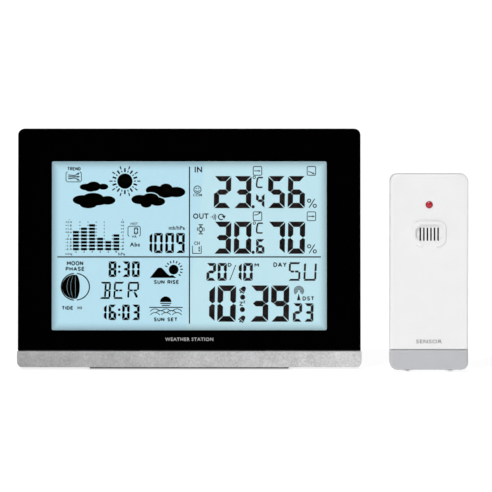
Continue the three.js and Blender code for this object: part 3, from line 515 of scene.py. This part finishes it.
class Ink:
    """Thin flat shapes on the layout grid, made into one piece."""

    def __init__(self, layer):
        self.made = bmesh.new()
        self.depths = layer

    def pair(self, point):
        """The front and back vertices at a point of the grid."""
        x, z = on_window(*point)
        return [self.made.verts.new((x * MM, y * MM, z * MM)) for y in self.depths]

    def polygon(self, points):
        pairs = [self.pair(p) for p in points]
        self.made.faces.new([front for front, _ in pairs])
        self.made.faces.new([back for _, back in reversed(pairs)])
        for (a, b), (c, d) in zip(pairs, pairs[1:] + pairs[:1]):
            self.made.faces.new((a, b, d, c))

    def strip(self, outer, inner, closed=False):
        """The area between two lines with equal point counts."""
        far, near = [self.pair(p) for p in outer], [self.pair(p) for p in inner]
        count = len(far)
        for i in range(count if closed else count - 1):
            j = (i + 1) % count
            self.made.faces.new((far[i][0], far[j][0], near[j][0], near[i][0]))
            self.made.faces.new((near[i][1], near[j][1], far[j][1], far[i][1]))
            self.made.faces.new((far[i][1], far[j][1], far[j][0], far[i][0]))
            self.made.faces.new((near[i][0], near[j][0], near[j][1], near[i][1]))
        if not closed:
            for end in (0, -1):
                self.made.faces.new((far[end][0], near[end][0], near[end][1], far[end][1]))

    def box(self, u0, u1, v0, v1):
        """A filled rectangle."""
        self.polygon([(u0, v0), (u1, v0), (u1, v1), (u0, v1)])

    def disc(self, u, v, radius, squash=1.0, sides=32):
        self.polygon([on_circle(u, v, radius, i * 360 / sides, squash) for i in range(sides)])

    def arc(self, u, v, radius, width, start, end, squash=1.0):
        """Part of a ring, from one angle to another, in degrees."""
        steps = max(3, round(abs(end - start) / 12))
        turns = [start + (end - start) * i / steps for i in range(steps + 1)]
        rim = [on_circle(u, v, radius + width / 2, t, squash) for t in turns]
        self.strip(rim, [on_circle(u, v, radius - width / 2, t, squash) for t in turns])

    def ring(self, u, v, radius, width, sides=24):
        turns = [i * 360 / sides for i in range(sides)]
        rim = [on_circle(u, v, radius + width / 2, t) for t in turns]
        self.strip(rim, [on_circle(u, v, radius - width / 2, t) for t in turns], closed=True)

    def frame(self, u0, u1, v0, v1, width, radius):
        """The border of a rounded box."""
        rim = outline(u0, u1, v0, v1, radius, 3)
        self.strip(rim, inset_outline(u0, u1, v0, v1, radius, width, 3), closed=True)

    def line(self, width, *points):
        """A line of straight stretches."""
        for (u0, v0), (u1, v1) in zip(points, points[1:]):
            length = math.hypot(u1 - u0, v1 - v0)
            du, dv = (v1 - v0) / length * width / 2, (u0 - u1) / length * width / 2
            right = [(u0 + du, v0 + dv), (u1 + du, v1 + dv)]
            left = [(u1 - du, v1 - dv), (u0 - du, v0 - dv)]
            self.polygon(right + left)

    def arrow(self, width, head, *points):
        """A line with a solid head on its last point."""
        self.line(width, *points)
        (u0, v0), (u1, v1) = points[-2:]
        length = math.hypot(u1 - u0, v1 - v0)
        du, dv = (u1 - u0) / length * head, (v1 - v0) / length * head
        tip = (u1 + du * 0.6, v1 + dv * 0.6)
        back_u, back_v = u1 - du * 0.6, v1 - dv * 0.6
        barbs = [(back_u - side * dv, back_v + side * du) for side in (0.5, -0.5)]
        self.polygon([tip, *barbs])

    def rays(self, u, v, inner, outer, width, first, step, count):
        """Short lines round a point, from the first angle on, in degrees."""
        for i in range(count):
            turn = first + i * step
            self.line(width, on_circle(u, v, inner, turn), on_circle(u, v, outer, turn))

    def text(self, words, u0, u1, v0, v1, bold=BOLD):
        """Words fitted to a box."""
        points, faces = lettering(words, bold)
        placed = []
        for across, up, lifted in points:
            x, z = on_window(u0 + across * (u1 - u0), v1 - up * (v1 - v0))
            placed.append(self.made.verts.new((x * MM, self.depths[0 if lifted else 1] * MM, z * MM)))
        add_faces(self.made, placed, faces)

    def capitals(self, words, u0, u1, v0, v1, weight=0.6):
        """Small capitals of even strokes, fitted to a box."""
        letters = [CAPITALS[letter] for letter in words]
        units = sum(wide for wide, *_ in letters) + CAPITAL_GAP * (len(letters) - 1)
        left, top, high = u0 + weight / 2, v0 + weight / 2, v1 - v0 - weight
        across = (u1 - u0 - weight) / units
        for wide, *strokes in letters:
            for points in strokes:
                self.line(weight, *[(left + x * across, top + y * high) for x, y in points])
            left += (wide + CAPITAL_GAP) * across

    def letter(self, parts, names, high, u0, v0, lean):
        """Some parts of a letter. lean is how far its top stands to the right of its foot."""
        for name in names:
            self.polygon([(u0 + x + lean * (1 - y / high), v0 + y) for x, y in parts[name]])

    def seven(self, digit, u0, u1, v0, v1, stroke, lean=0.0):
        """A seven-segment digit."""
        wide, high, s = u1 - u0 - lean, v1 - v0, stroke
        k = 0.03 + 0.03 * s  # half the light gap between neighbours, along the grid
        clip, mid, point = k + 0.06 * s, high / 2, s * 0.45
        flip_x = lambda points: [(wide - x, y) for x, y in points]
        flip_y = lambda points: [(x, high - y) for x, y in points]
        top = [(clip + k, 0), (wide - clip - k, 0), (wide - s - k, s), (s + k, s)]
        side = [(0, clip + k), (s, s + k), (s, mid - s / 2 - k), (point, mid - k), (0, mid - k - s * 0.25)]
        left, right = s + k, wide - s - k
        upper = [(point + k, mid), (left, mid - s / 2), (right, mid - s / 2), (wide - point - k, mid)]
        lower = [(right, mid + s / 2), (left, mid + s / 2)]
        parts = {
            "a": top,
            "b": flip_x(side),
            "c": flip_x(flip_y(side)),
            "d": flip_y(top),
            "e": flip_y(side),
            "f": side,
            "g": upper + lower,
        }
        self.letter(parts, SEVEN[digit], high, u0, v0, lean)

    def sevens(self, digits, v0, v1, stroke, lean=0.0):
        """A row of seven-segment digits, each given with its left and right edge."""
        for digit, u0, u1 in digits:
            self.seven(digit, u0, u1, v0, v1, stroke, lean)

    def starburst(self, letter, u0, u1, v0, v1, stroke, lean=0.0):
        """A letter of thin bars."""
        wide, high, s = u1 - u0 - lean, v1 - v0, stroke
        gap, cut, mid, centre = 0.18, 0.2, high / 2, wide / 2
        post = lambda y0, y1: [(0, y0 + cut), (s, y0), (s, y1), (0, y1 - cut)]
        upright = lambda x, y0, y1: [(x, y0), (x + s, y0), (x + s, y1), (x, y1)]
        turned = lambda points: [(wide - x, y) for x, y in points]
        top = [(gap, 0), (wide - gap, 0), (wide - s, s), (s, s)]
        upper_post, lower_post = post(gap + s / 2, mid - gap), post(mid + gap, high - gap - s / 2)
        inner = centre - gap * 1.5
        half_bar = [(s, mid - s / 2), (inner, mid - s / 2), (inner, mid + s / 2), (s, mid + s / 2)]
        start, end = centre + gap, wide - s * 0.5  # the lower right diagonal
        diagonal = [(start, mid + s * 0.9), (start + s, mid + s * 0.9), (end, high - s * 1.8)]
        diagonal += [(end, high - s * 0.6), (wide - s * 1.5, high - s * 0.9)]
        parts = {
            "a": top,
            "b": turned(upper_post),
            "c": turned(lower_post),
            "d": [(x, high - y) for x, y in top],
            "e": lower_post,
            "f": upper_post,
            "l": half_bar,
            "r": turned(half_bar),
            "u": upright(centre - s / 2, s + gap, mid - gap),
            "v": upright(centre - s / 2, mid + gap, high - s - gap),
            "x": diagonal,
        }
        self.letter(parts, STARBURST[letter], high, u0, v0, lean)

    def finish(self, name, material):
        bmesh.ops.recalc_face_normals(self.made, faces=self.made.faces)
        finish_object(self.made, name, material, STATION, "display_unit")


# Clouds are overlapping ellipses: the middle, half the width, half the height.
SMALL_CLOUD = [
    (21.1, 15.9, 4.1, 2.0),
    (25.4, 15.5, 4.3, 2.9),
    (31.2, 15.7, 3.1, 1.8),
    (23.4, 17.5, 2.9, 1.2),
]
LARGE_CLOUD = [
    (18.5, 23.7, 5.7, 2.9),
    (25.1, 22.7, 6.5, 3.3),
    (33.8, 23.9, 4.8, 2.6),
    (22.3, 26.3, 5.2, 2.4),
    (26.7, 24.7, 7.2, 2.3),
]
FRONT_CLOUD = [
    (53.2, 23.4, 5.0, 2.8),
    (59.8, 22.4, 4.9, 2.8),
    (64.0, 24.6, 4.6, 2.6),
    (57.2, 26.3, 3.3, 2.0),
]
REAR_CLOUD = [
    (62.1, 17.8, 5.2, 2.9),
    (69.1, 16.7, 3.9, 2.9),
    (75.2, 18.9, 5.6, 3.1),
    (68.0, 19.5, 7.2, 2.9),
]
CLOUD_GAP = 0.55  # the light edge that parts the front cloud from the rear one
SUN_CENTRE, SUN_RADIUS = (44.3, 12.35), 4.6
BAR_COUNTS = [6, 7, 8, 4, 3, 5]  # lit blocks in each column of the pressure history


def draw_cloud(ink, puffs, grow=0.0):
    """A cloud, with every ellipse larger by grow."""
    for u, v, wide, high in puffs:
        ink.disc(u, v, wide + grow, (high + grow) / (wide + grow), 40)


def draw_trend(ink):
    """Three arrows that fan out, in a frame with cut corners that is open above."""
    ink.capitals("TREND", 9.5, 17.6, 3.8, 6.0, 0.5)
    left = [(9.6, 6.6), (8.75, 7.6), (8.75, 12.0), (9.6, 12.8)]
    right = [(17.1, 12.8), (18.0, 12.0), (18.0, 7.6), (17.1, 6.6)]
    ink.line(0.42, *left, *right)
    for row, rise in ((8.6, -1.5), (9.75, 0.0), (10.9, 1.5)):
        start, bend = (10.0, row), (12.6, row - rise * 0.2)
        ink.arrow(0.55, 1.4, start, bend, (14.2, 9.7 + rise * 0.5), (16.4, 9.7 + rise * 1.35))


def draw_forecast(ink):
    """The pressure's trend, and the weather to come: a sun among clouds."""
    draw_trend(ink)
    ink.disc(*SUN_CENTRE, SUN_RADIUS, sides=48)
    ink.rays(*SUN_CENTRE, 5.4, 7.8, 1.0, 18, 36, 10)
    ink.rays(*SUN_CENTRE, 5.5, 6.6, 0.65, 0, 36, 10)
    ink.rays(*SUN_CENTRE, 7.4, 9.4, 0.7, 0, 36, 10)
    draw_cloud(ink, SMALL_CLOUD)
    draw_cloud(ink, LARGE_CLOUD)
    draw_cloud(ink, FRONT_CLOUD)


def draw_bar_graph(ink):
    """The pressure of the past hours in columns of blocks, with a scale on either side."""
    first, pitch, foot, rise = 14.75, 4.89, 53.2, 2.03
    block, dot_width, dot_height, figure = 1.8, 0.32, 0.28, 0.6  # half of each
    for column, count in enumerate(BAR_COUNTS):
        u = first + column * pitch
        for row in range(count):
            v = foot - row * rise
            ink.box(u - block, u + block, v - 0.76, v + 0.74)
        hours = "-%d" % (6 - column) if column < 5 else "0"
        ink.text(hours, u - 0.7, u + 0.5, 54.2, 55.4, FINE)
    for row in range(9):
        v = foot - row * rise
        for column in range(5):
            u = first + (column + 0.5) * pitch
            if column < 4 or row < 5:  # the last gap's dots end level with the last column's blocks
                ink.box(u - dot_width, u + dot_width, v - dot_height, v + dot_height)
        above = row - 4
        top, bottom = v - figure, v + figure
        if above:
            ink.text("%+.1f" % (above * 0.6), 8.4, 12.2, top, bottom, FINE)
            ink.text("%+d" % (above * 2), 41.8, 43.7, top, bottom, FINE)
        else:
            ink.text("0", 10.0, 10.7, top, bottom, FINE)
            ink.text("0", 42.9, 43.5, top, bottom, FINE)
    ink.box(10.6, 10.9, 35.2, 35.9)
    ink.box(42.8, 43.1, 35.2, 35.9)
    ink.text("inHg", 8.4, 12.6, 55.5, 57.0, TINY)
    ink.text("hPa", 40.4, 44.4, 55.3, 57.0, TINY)


def draw_history(ink):
    """The pressure: its history, the hour shown and the reading."""
    draw_bar_graph(ink)
    ink.text("HIST", 47.8, 52.1, 37.2, 38.7, TINY)
    left = [(47.0, 45.5), (46.2, 45.0), (46.2, 40.2), (46.9, 39.45)]
    right = [(52.9, 39.45), (53.6, 40.2), (53.6, 45.0), (52.8, 45.5)]
    ink.line(0.45, *left, *right)
    ink.text("HR", 48.7, 51.5, 45.0, 46.4, TINY)
    ink.seven("0", 49.8, 52.3, 40.2, 44.3, 0.75)
    ink.text("Abs", 47.3, 53.4, 49.2, 51.7)
    ink.text("mb/hPa", 70.8, 80.5, 39.3, 41.6)
    pressure = [("1", 56.0, 60.9), ("0", 61.9, 67.2), ("0", 68.7, 74.0), ("9", 75.2, 80.5)]
    ink.sevens(pressure, 43.5, 55.6, 1.65, 0.1)


def draw_moon(ink):
    """The moon as dark slices of a ball, and its open rim."""
    u, v, radius, squash, rim_squash = 14.5, 76.0, 8.3, 0.9, 0.955
    edges = [(-0.985, -0.622), (-0.61, -0.348), (-0.336, -0.008), (0.004, 0.325)]
    steps = [math.radians(-78 + 156 * i / 20) for i in range(21)]
    tall = radius * squash
    meridian = lambda share: [(u + radius * share * math.cos(a), v + tall * math.sin(a)) for a in steps]
    for left, right in edges:
        ink.strip(meridian(left), meridian(right))
    ink.arc(u, v, 8.55, 0.72, 96, 264, rim_squash)
    ink.arc(u, v, 8.5, 0.7, -84, 84, rim_squash)
    ink.capitals("MOON", 9.3, 19.2, 60.4, 63.1)
    ink.capitals("PHASE", 8.6, 20.0, 63.9, 66.4)
    ink.capitals("TIDE", 6.3, 13.2, 87.7, 90.0)
    ink.capitals("HI", 15.8, 18.4, 87.7, 89.9, 0.48)


def draw_sunrise(ink):
    """The sun behind two hills."""
    slope = [(59.4, 70.6), (63.9, 64.9), (64.8, 64.4), (66.3, 64.4), (67.3, 65.2), (70.2, 68.4)]
    foothill = [(71.5, 69.3), (72.4, 69.0), (73.4, 69.0), (75.4, 70.6)]
    ink.polygon(slope + foothill)
    ink.disc(73.75, 65.6, 2.95)
    ink.rays(73.75, 65.6, 4.1, 5.6, 0.7, -42, 22, 10)
    ink.capitals("SUN RISE", 61.8, 77.0, 71.9, 74.3)


def draw_sunset(ink):
    """Half a sun over the horizon, and three rows of waves."""
    ink.polygon([on_circle(69.0, 85.3, 3.45, i * 10) for i in range(19)])
    ink.box(65.7, 72.3, 85.85, 86.45)
    ink.box(66.6, 71.4, 87.05, 87.65)
    ink.box(59.0, 79.2, 88.2, 88.8)
    radius, pitch, width = 3.3, 6.6, 0.45
    for v in (92.7, 94.9):
        for i in range(3):
            ink.arc(62.6 + i * pitch, v, radius, width, 32, 148)
    for i in range(2):
        ink.arc(65.9 + i * pitch, 93.6, radius, width, 30, 150)
    ink.capitals("SUN SET", 61.8, 76.1, 94.6, 97.0)


def draw_sun_times(ink):
    """The hours of sunrise and sunset, and the city between them."""
    ink.sevens([("8", 34.5, 39.25), ("3", 42.7, 47.4), ("0", 48.6, 53.3)], 60.6, 70.1, 1.6, 0.1)
    setting = [("1", 28.8, 33.4), ("6", 34.5, 39.2), ("0", 42.7, 47.3), ("3", 48.6, 53.3)]
    ink.sevens(setting, 86.8, 96.2, 1.6, 0.1)
    for v in (63.8, 66.9, 89.9, 93.0):
        ink.disc(40.95, v, 0.78, sides=16)
    for letter, u0, u1 in (("B", 29.1, 36.1), ("E", 37.3, 44.1), ("R", 45.7, 53.1)):
        ink.starburst(letter, u0, u1, 73.0, 83.4, 1.15, 0.6)
    draw_sunrise(ink)
    draw_sunset(ink)


def draw_arrow_box(ink, u, v, path):
    """A trend arrow in a rounded frame. The path is measured from the frame's top left."""
    ink.frame(u, u + 5.6, v, v + 5.75, 0.48, 0.9)
    ink.arrow(0.5, 1.25, *[(u + a, v + b) for a, b in path])


def draw_degrees(ink, v):
    """A degree sign and a square C, whose top is at v."""
    ink.ring(122.4, v + 0.25, 0.75, 0.45, 12)
    ink.line(0.9, (127.6, v + 0.35), (124.7, v + 0.35))
    ink.line(0.95, (124.6, v + 0.4), (123.9, v + 3.1), (123.8, v + 5.6), (124.4, v + 6.2))
    ink.line(0.9, (124.3, v + 6.2), (127.4, v + 6.2))


def draw_percent(ink, v):
    """A percent sign, whose foot is at v."""
    ink.ring(155.5, v - 4.4, 0.95, 0.6, 16)
    ink.ring(158.9, v - 1.3, 0.95, 0.6, 16)
    ink.line(0.6, (158.9, v - 5.5), (155.5, v - 0.2))


def draw_comfort(ink):
    """A smiling face."""
    u, v = 88.1, 17.4
    ink.ring(u, v, 2.15, 0.5)
    for side in (-0.75, 0.75):
        ink.disc(u + side, 16.7, 0.4, sides=8)
    ink.arc(u, v, 1.2, 0.45, 200, 340)
    ink.text("COM", 85.5, 90.8, 19.9, 21.5, TINY)


def draw_radio_marks(ink):
    """Waves and a turning arrow beside OUT, the sensor's mark, and its channel."""
    ink.disc(96.3, 33.9, 0.3, sides=8)
    for radius in (1.0, 1.9, 2.8):
        ink.arc(96.4, 33.9, radius, 0.48, -42, 42)
    ink.arc(102.4, 33.9, 1.6, 0.65, 20, 310)
    ink.polygon([(102.7, 33.3), (105.2, 33.0), (104.3, 35.0)])
    ink.box(88.8, 91.4, 38.25, 38.75)
    ink.box(88.8, 91.4, 43.85, 44.35)
    for top, foot in ((38.6, 40.4), (44.0, 42.3)):
        ink.line(0.4, (89.2, top), (91.0, foot))
        ink.line(0.4, (91.0, top), (89.2, foot))
    ink.ring(90.1, 41.3, 1.15, 0.55, 16)
    ink.arc(90.1, 41.3, 2.1, 0.45, -32, 32)
    ink.arc(90.1, 41.3, 2.1, 0.45, 148, 212)
    ink.text("CH", 86.1, 89.5, 48.6, 50.7)
    ink.line(0.45, (85.1, 51.2), (85.1, 55.8), (90.4, 55.8), (90.4, 51.2))
    ink.seven("1", 86.3, 89.5, 51.4, 55.1, 0.8)


def draw_climate(ink):
    """Temperature and humidity, indoors above and outdoors below, each with its trend arrows."""
    level = [(0.9, 2.9), (4.2, 2.9)]
    falling = [(0.8, 3.5), (2.2, 3.5), (4.2, 4.6)]
    rising = [(0.8, 2.1), (2.4, 2.0), (3.4, 1.4), (4.4, 0.5)]
    ink.text("IN", 86.4, 90.9, 3.7, 7.1)
    ink.text("OUT", 85.4, 94.8, 31.7, 35.1)
    for u0, u1, indoors, outdoors in (
        (97.9, 108.6, "2", "3"),
        (110.0, 120.8, "3", "0"),
        (130.5, 141.1, "5", "7"),
        (142.5, 153.2, "6", "0"),
    ):
        ink.seven(indoors, u0, u1, 9.3, 28.6, 3.2, 0.35)
        ink.seven(outdoors, u0, u1, 36.7, 56.0, 3.2, 0.35)
    for foot, tenths, unit in ((28.5, "4", 9.85), (55.9, "6", 37.3)):
        ink.disc(121.7, foot - 0.75, 0.98, sides=20)
        ink.seven(tenths, 123.4, 128.6, foot - 8.7, foot, 1.65, 0.1)
        draw_degrees(ink, unit)
        draw_percent(ink, foot)
    draw_arrow_box(ink, 121.55, 3.3, level)
    draw_arrow_box(ink, 154.1, 3.3, falling)
    draw_arrow_box(ink, 121.55, 30.6, rising)
    draw_arrow_box(ink, 154.1, 30.6, level)
    draw_comfort(ink)
    draw_radio_marks(ink)


def draw_bell(ink, u, v):
    """A bell on the slant, with its lip and clapper apart from it."""
    left = [(-2.0, 0.85), (-1.5, 0.2), (-1.35, -1.1), (-0.8, -1.9)]
    bell = left + [(0, -2.15)] + [(-x, y) for x, y in reversed(left)]
    turn = math.radians(38)
    cos, sin = math.cos(turn), math.sin(turn)
    place = lambda x, y: (u + x * cos - y * sin, v + x * sin + y * cos)
    ink.polygon([place(x, y) for x, y in bell])
    ink.line(0.75, place(-1.8, 1.5), place(1.8, 1.5))
    ink.disc(*place(0, 2.3), 0.5, sides=8)


def draw_date(ink):
    """The day, the month and the weekday."""
    digits = [("2", 93.5, 99.4), ("0", 100.2, 105.9), ("1", 109.6, 114.9), ("0", 115.7, 121.6)]
    ink.sevens(digits, 61.6, 72.4, 1.8, 0.2)
    ink.capitals("D", 106.4, 108.7, 61.5, 63.9)
    ink.capitals("M", 122.5, 125.2, 61.6, 64.1)
    ink.line(0.5, (107.7, 72.0), (111.2, 62.8))
    ink.capitals("DAY", 133.9, 142.0, 61.1, 64.1, 0.65)
    ink.starburst("S", 142.9, 150.5, 61.1, 72.4, 1.2, 0.5)
    ink.starburst("U", 152.0, 160.2, 61.1, 72.4, 1.2, 0.5)


def draw_alarms(ink):
    """The colon, with a bell above and below it and the snooze mark between its dots."""
    ink.disc(115.4, 82.3, 1.55, sides=24)
    ink.disc(115.2, 89.8, 1.55, sides=24)
    draw_bell(ink, 115.6, 77.7)
    draw_bell(ink, 115.2, 95.4)
    ink.line(0.55, (113.5, 85.3), (115.4, 85.3))
    ink.line(0.55, (115.2, 85.5), (113.7, 87.1))
    ink.line(0.55, (113.5, 87.3), (115.5, 87.3))
    ink.line(0.4, (115.8, 84.6), (116.8, 84.6), (115.9, 85.8), (116.9, 85.8))


def draw_clock(ink):
    """The date, the time, and the radio clock's tower."""
    draw_date(ink)
    digits = [("1", 88.4, 98.8), ("0", 100.0, 111.5), ("3", 119.7, 131.1), ("9", 132.3, 143.6)]
    ink.sevens(digits, 75.2, 97.2, 3.4, 0.4)
    draw_alarms(ink)
    for radius in (0.9, 1.55, 2.2, 2.85):
        ink.arc(149.3, 78.5, radius, 0.42, -48, 228)
    ink.polygon([(149.2, 79.9), (150.3, 84.2), (148.1, 84.2)])
    ink.capitals("DST", 151.5, 158.6, 81.8, 84.4)
    ink.sevens([("2", 145.6, 151.3), ("3", 152.4, 158.2)], 86.0, 97.2, 1.75, 0.2)


def make_display():
    """The pieces of the display, each an Ink in its own layer."""
    pages = [
        ("display_rear_cloud", INK_DARK, REAR_LAYER, [lambda ink: draw_cloud(ink, REAR_CLOUD)]),
        ("display_cloud_gap", LCD_GLASS, GAP_LAYER, [lambda ink: draw_cloud(ink, FRONT_CLOUD, CLOUD_GAP)]),
        ("display_forecast", INK_DARK, INK_LAYER, [draw_forecast, draw_history]),
        ("display_sun_and_moon", INK_DARK, INK_LAYER, [draw_moon, draw_sun_times]),
        ("display_climate", INK_WITH_REFLECTION, INK_LAYER, [draw_climate]),
        ("display_clock", INK_WITH_REFLECTION, INK_LAYER, [draw_clock]),
        ("display_level_divider", INK_SLATE, FULL_DEPTH, [lambda ink: ink.box(3.6, 162.6, 57.5, 58.3)]),
        ("display_upright_divider", INK_DARK, FULL_DEPTH, [lambda ink: ink.box(82.95, 83.65, 3.6, 98.4)]),
    ]
    for name, material, layer, drawings in pages:
        ink = Ink(layer)
        for draw in drawings:
            draw(ink)
        ink.finish(name, material)


make_display()

# ------------------------------------------------------------------ printing on the shells

PRINT_HEIGHT = 0.02  # ink stands this far off the surface
FACING_FRONT = Matrix.Rotation(math.pi / 2, 4, "X")
FACING_BACK = Matrix.Rotation(math.pi, 4, "Z") @ FACING_FRONT
BACK_PLANE = 20  # how far the display unit's back face lies behind its front
KEY_LABELS = {  # for each column of keys, by its place across, from the top down
    -62: ("MODE", "ALARM", "+", "-"),
    62: ("CHANNEL", "HISTORY", "UNITS", "CITY"),
}
KEY_ROWS = (94, 80, 66, 52)
KEY_PRINT = 5.3  # the lettering's middle above the key's
WORD_HEIGHT, LETTER_WIDTH = 1.9, 1.62
SOCKET_X, SOCKET_WORDS, SOCKET_MARKS = 80, 34, 19.6  # across, and the heights of its two lines


class Print:
    """Flat lettering and marks on a face, in the frame of one unit."""

    def __init__(self, facing, depth):
        self.made = bmesh.new()
        self.turn = Matrix.Translation((0, depth * MM, 0)) @ facing

    def across(self, x):
        """The face's own direction across, which is turned round on the back."""
        return -x if self.turn[0][0] < 0 else x

    def vertex(self, across, up, lifted):
        lift = PRINT_HEIGHT if lifted else 0.0
        return self.made.verts.new(self.turn @ Vector((across * MM, up * MM, lift * MM)))

    def text(self, words, x, z, height, width, bold=PRINT_BOLD):
        """Words centred on a point of the face."""
        points, faces = lettering(words, bold)
        middle = self.across(x)
        placed = [
            self.vertex(middle + (across - 0.5) * width, z + (up - 0.5) * height, lifted)
            for across, up, lifted in points
        ]
        add_faces(self.made, placed, faces)

    def bar(self, x0, x1, z0, z1):
        """A filled rectangle."""
        low, high = sorted((self.across(x0), self.across(x1)))
        corners = [(low, z0), (high, z0), (high, z1), (low, z1)]
        back, front = ([self.vertex(a, b, lifted) for a, b in corners] for lifted in (False, True))
        self.made.faces.new(front)
        self.made.faces.new(list(reversed(back)))
        for i in range(4):
            j = (i + 1) % 4
            self.made.faces.new((back[i], back[j], front[j], front[i]))

    def finish(self, name, material, matrix, body, slot):
        finish_object(self.made, name, material, matrix, body)


def print_front():
    """The words under the window and on the sensor."""
    bezel = Print(FACING_FRONT, 0)
    bezel.text("WEATHER STATION", 0, 17.4, 2.1, 29, THIN)
    bezel.finish("bezel_lettering", PRINT_LIGHT, STATION, "display_unit", "grey_plastic")
    case = Print(FACING_FRONT, 0)
    case.text("SENSOR", 0, 17.2, 2.3, 15.5, THIN)
    case.finish("sensor_lettering", PRINT_GREY, SENSOR, "outdoor_sensor", "grey_plastic")


def print_back():
    """The names of the keys and of the adapter's socket."""
    keys = Print(FACING_BACK, BACK_PLANE)
    for x, labels in KEY_LABELS.items():
        for z, label in zip(KEY_ROWS, labels):
            if label == "-":
                keys.bar(x - 0.9, x + 0.9, z + KEY_PRINT - 0.2, z + KEY_PRINT + 0.2)
            elif label == "+":
                keys.text(label, x, z + KEY_PRINT, WORD_HEIGHT, WORD_HEIGHT)
            else:
                keys.text(label, x, z + KEY_PRINT, WORD_HEIGHT, LETTER_WIDTH * len(label))
    keys.text("DC IN", SOCKET_X, SOCKET_WORDS, WORD_HEIGHT, 7.6)
    keys.bar(SOCKET_X - 1.1, SOCKET_X + 1.1, SOCKET_MARKS - 1.7, SOCKET_MARKS - 1.4)
    keys.text("+ - +", SOCKET_X, SOCKET_MARKS, 1.4, 6)
    keys.finish("back_lettering", PRINT_DARK, STATION, "display_unit", "black_plastic")


LABEL_EDGE = (-25.5, 25.5, 13.5, 31.5, 1.2)  # left, right, foot, top and corner radius
LABEL_FACE, LABEL_FOOT, LABEL_BEVEL = BACK_PLANE - 0.22, BACK_PLANE - 0.39, 0.04
LABEL_WORDS = [
    ("WEATHER STATION", 0, 28.6, 2.0, 27),
    ("DISPLAY UNIT", -10.5, 24.1, 1.5, 16),
    ("3 x AA", 12, 24.1, 1.5, 8),
    ("5 V DC", 12, 21.1, 1.5, 8),
    ("INDOOR USE", -10.5, 21.1, 1.5, 14),
]
LABEL_RULES = [(26.3, 26.5), (19.0, 19.2)]
STRIPES = [0.5, 0.9, 0.4, 0.4, 1.1, 0.5, 0.8, 0.4, 1.0, 0.5, 0.4, 0.9, 0.6, 0.4, 1.0, 0.5]


def make_type_label():
    """A plain film label in the back cover's shallow recess, with generic wording and stripes."""
    edge = outline(*LABEL_EDGE)
    face = inset_outline(*LABEL_EDGE, 0.05)
    film = loft([(LABEL_FACE, face), (LABEL_FACE - LABEL_BEVEL, edge), (LABEL_FOOT, edge)])
    finish_object(film, "type_label", LABEL_FILM, STATION, "display_unit")
    words = Print(FACING_BACK, LABEL_FACE)
    for line in LABEL_WORDS:
        words.text(*line)
    for foot, top in LABEL_RULES:
        words.bar(-23.5, 23.5, foot, top)
    for i, wide in enumerate(STRIPES):
        left = -14 + i * 1.8
        words.bar(left, left + wide, 14.8, 17.8)
    words.finish("type_label_lettering", PRINT_DARK, STATION, "display_unit", "black_plastic")


print_front()
print_back()
make_type_label()

# ------------------------------------------------------------------ stage: floor, light

FLOOR_HALF = 30
FLOOR_GREY = 0.5
FLOOR_GLOW = 0.685  # with the lights' share, this makes the open floor just white and leaves soft shadows
DOME = (0.22, 0.6, 0.0, 0.42)  # the heights between which the dome grows, and its strength at both


def make_floor():
    """A wide pale floor that glows a little."""
    made = bmesh.new()
    bmesh.ops.create_grid(made, x_segments=1, y_segments=1, size=FLOOR_HALF)
    mesh = bpy.data.meshes.new("floor")
    made.to_mesh(mesh)
    made.free()
    floor = bpy.data.objects.new("floor", mesh)
    bpy.context.scene.collection.objects.link(floor)
    look = Nodes("floor", Roughness=0.9, Specular_IOR_Level=0.0, Emission_Strength=FLOOR_GLOW)
    look.shader.inputs["Base Color"].default_value = (FLOOR_GREY, FLOOR_GREY, FLOOR_GREY, 1)
    look.shader.inputs["Emission Color"].default_value = (1, 1, 1, 1)
    mesh.materials.append(look.material)


def make_world():
    """White behind the set, and for light a dome that is bright overhead and dark near the horizon."""
    world = bpy.data.worlds.new("world")
    bpy.context.scene.world = world
    world.use_nodes = True
    tree = world.node_tree
    tree.nodes.clear()
    add = tree.nodes.new
    output, background = add("ShaderNodeOutputWorld"), add("ShaderNodeBackground")
    seen, direction = add("ShaderNodeLightPath"), add("ShaderNodeTexCoord")
    parts, dome, pick = add("ShaderNodeSeparateXYZ"), add("ShaderNodeMapRange"), add("ShaderNodeMath")
    background.inputs["Color"].default_value = (1, 1, 1, 1)
    dome.interpolation_type = "SMOOTHSTEP"
    for socket, number in zip(RAMP_SOCKETS, DOME):
        dome.inputs[socket].default_value = number
    pick.operation = "MAXIMUM"
    tree.links.new(direction.outputs["Generated"], parts.inputs[0])
    tree.links.new(parts.outputs["Z"], dome.inputs["Value"])
    tree.links.new(seen.outputs["Is Camera Ray"], pick.inputs[0])
    tree.links.new(dome.outputs["Result"], pick.inputs[1])
    tree.links.new(pick.outputs[0], background.inputs["Strength"])
    tree.links.new(background.outputs[0], output.inputs[0])


def make_light(name, direction, spread, strength):
    """A large soft light, far off in a direction, spread over so many degrees."""
    data = bpy.data.lights.new(name, "SUN")
    data.angle, data.energy = math.radians(spread), strength
    light = bpy.data.objects.new(name, data)
    bpy.context.scene.collection.objects.link(light)
    light.rotation_euler = Vector(direction).to_track_quat("Z", "Y").to_euler()


make_floor()
make_world()
make_light("key_light", direction=(-0.36, -0.76, 0.62), spread=14, strength=1.5)
make_light("top_light", direction=(0.0, 0.2, 0.98), spread=14, strength=0.75)
bpy.context.scene.view_settings.view_transform = "Standard"
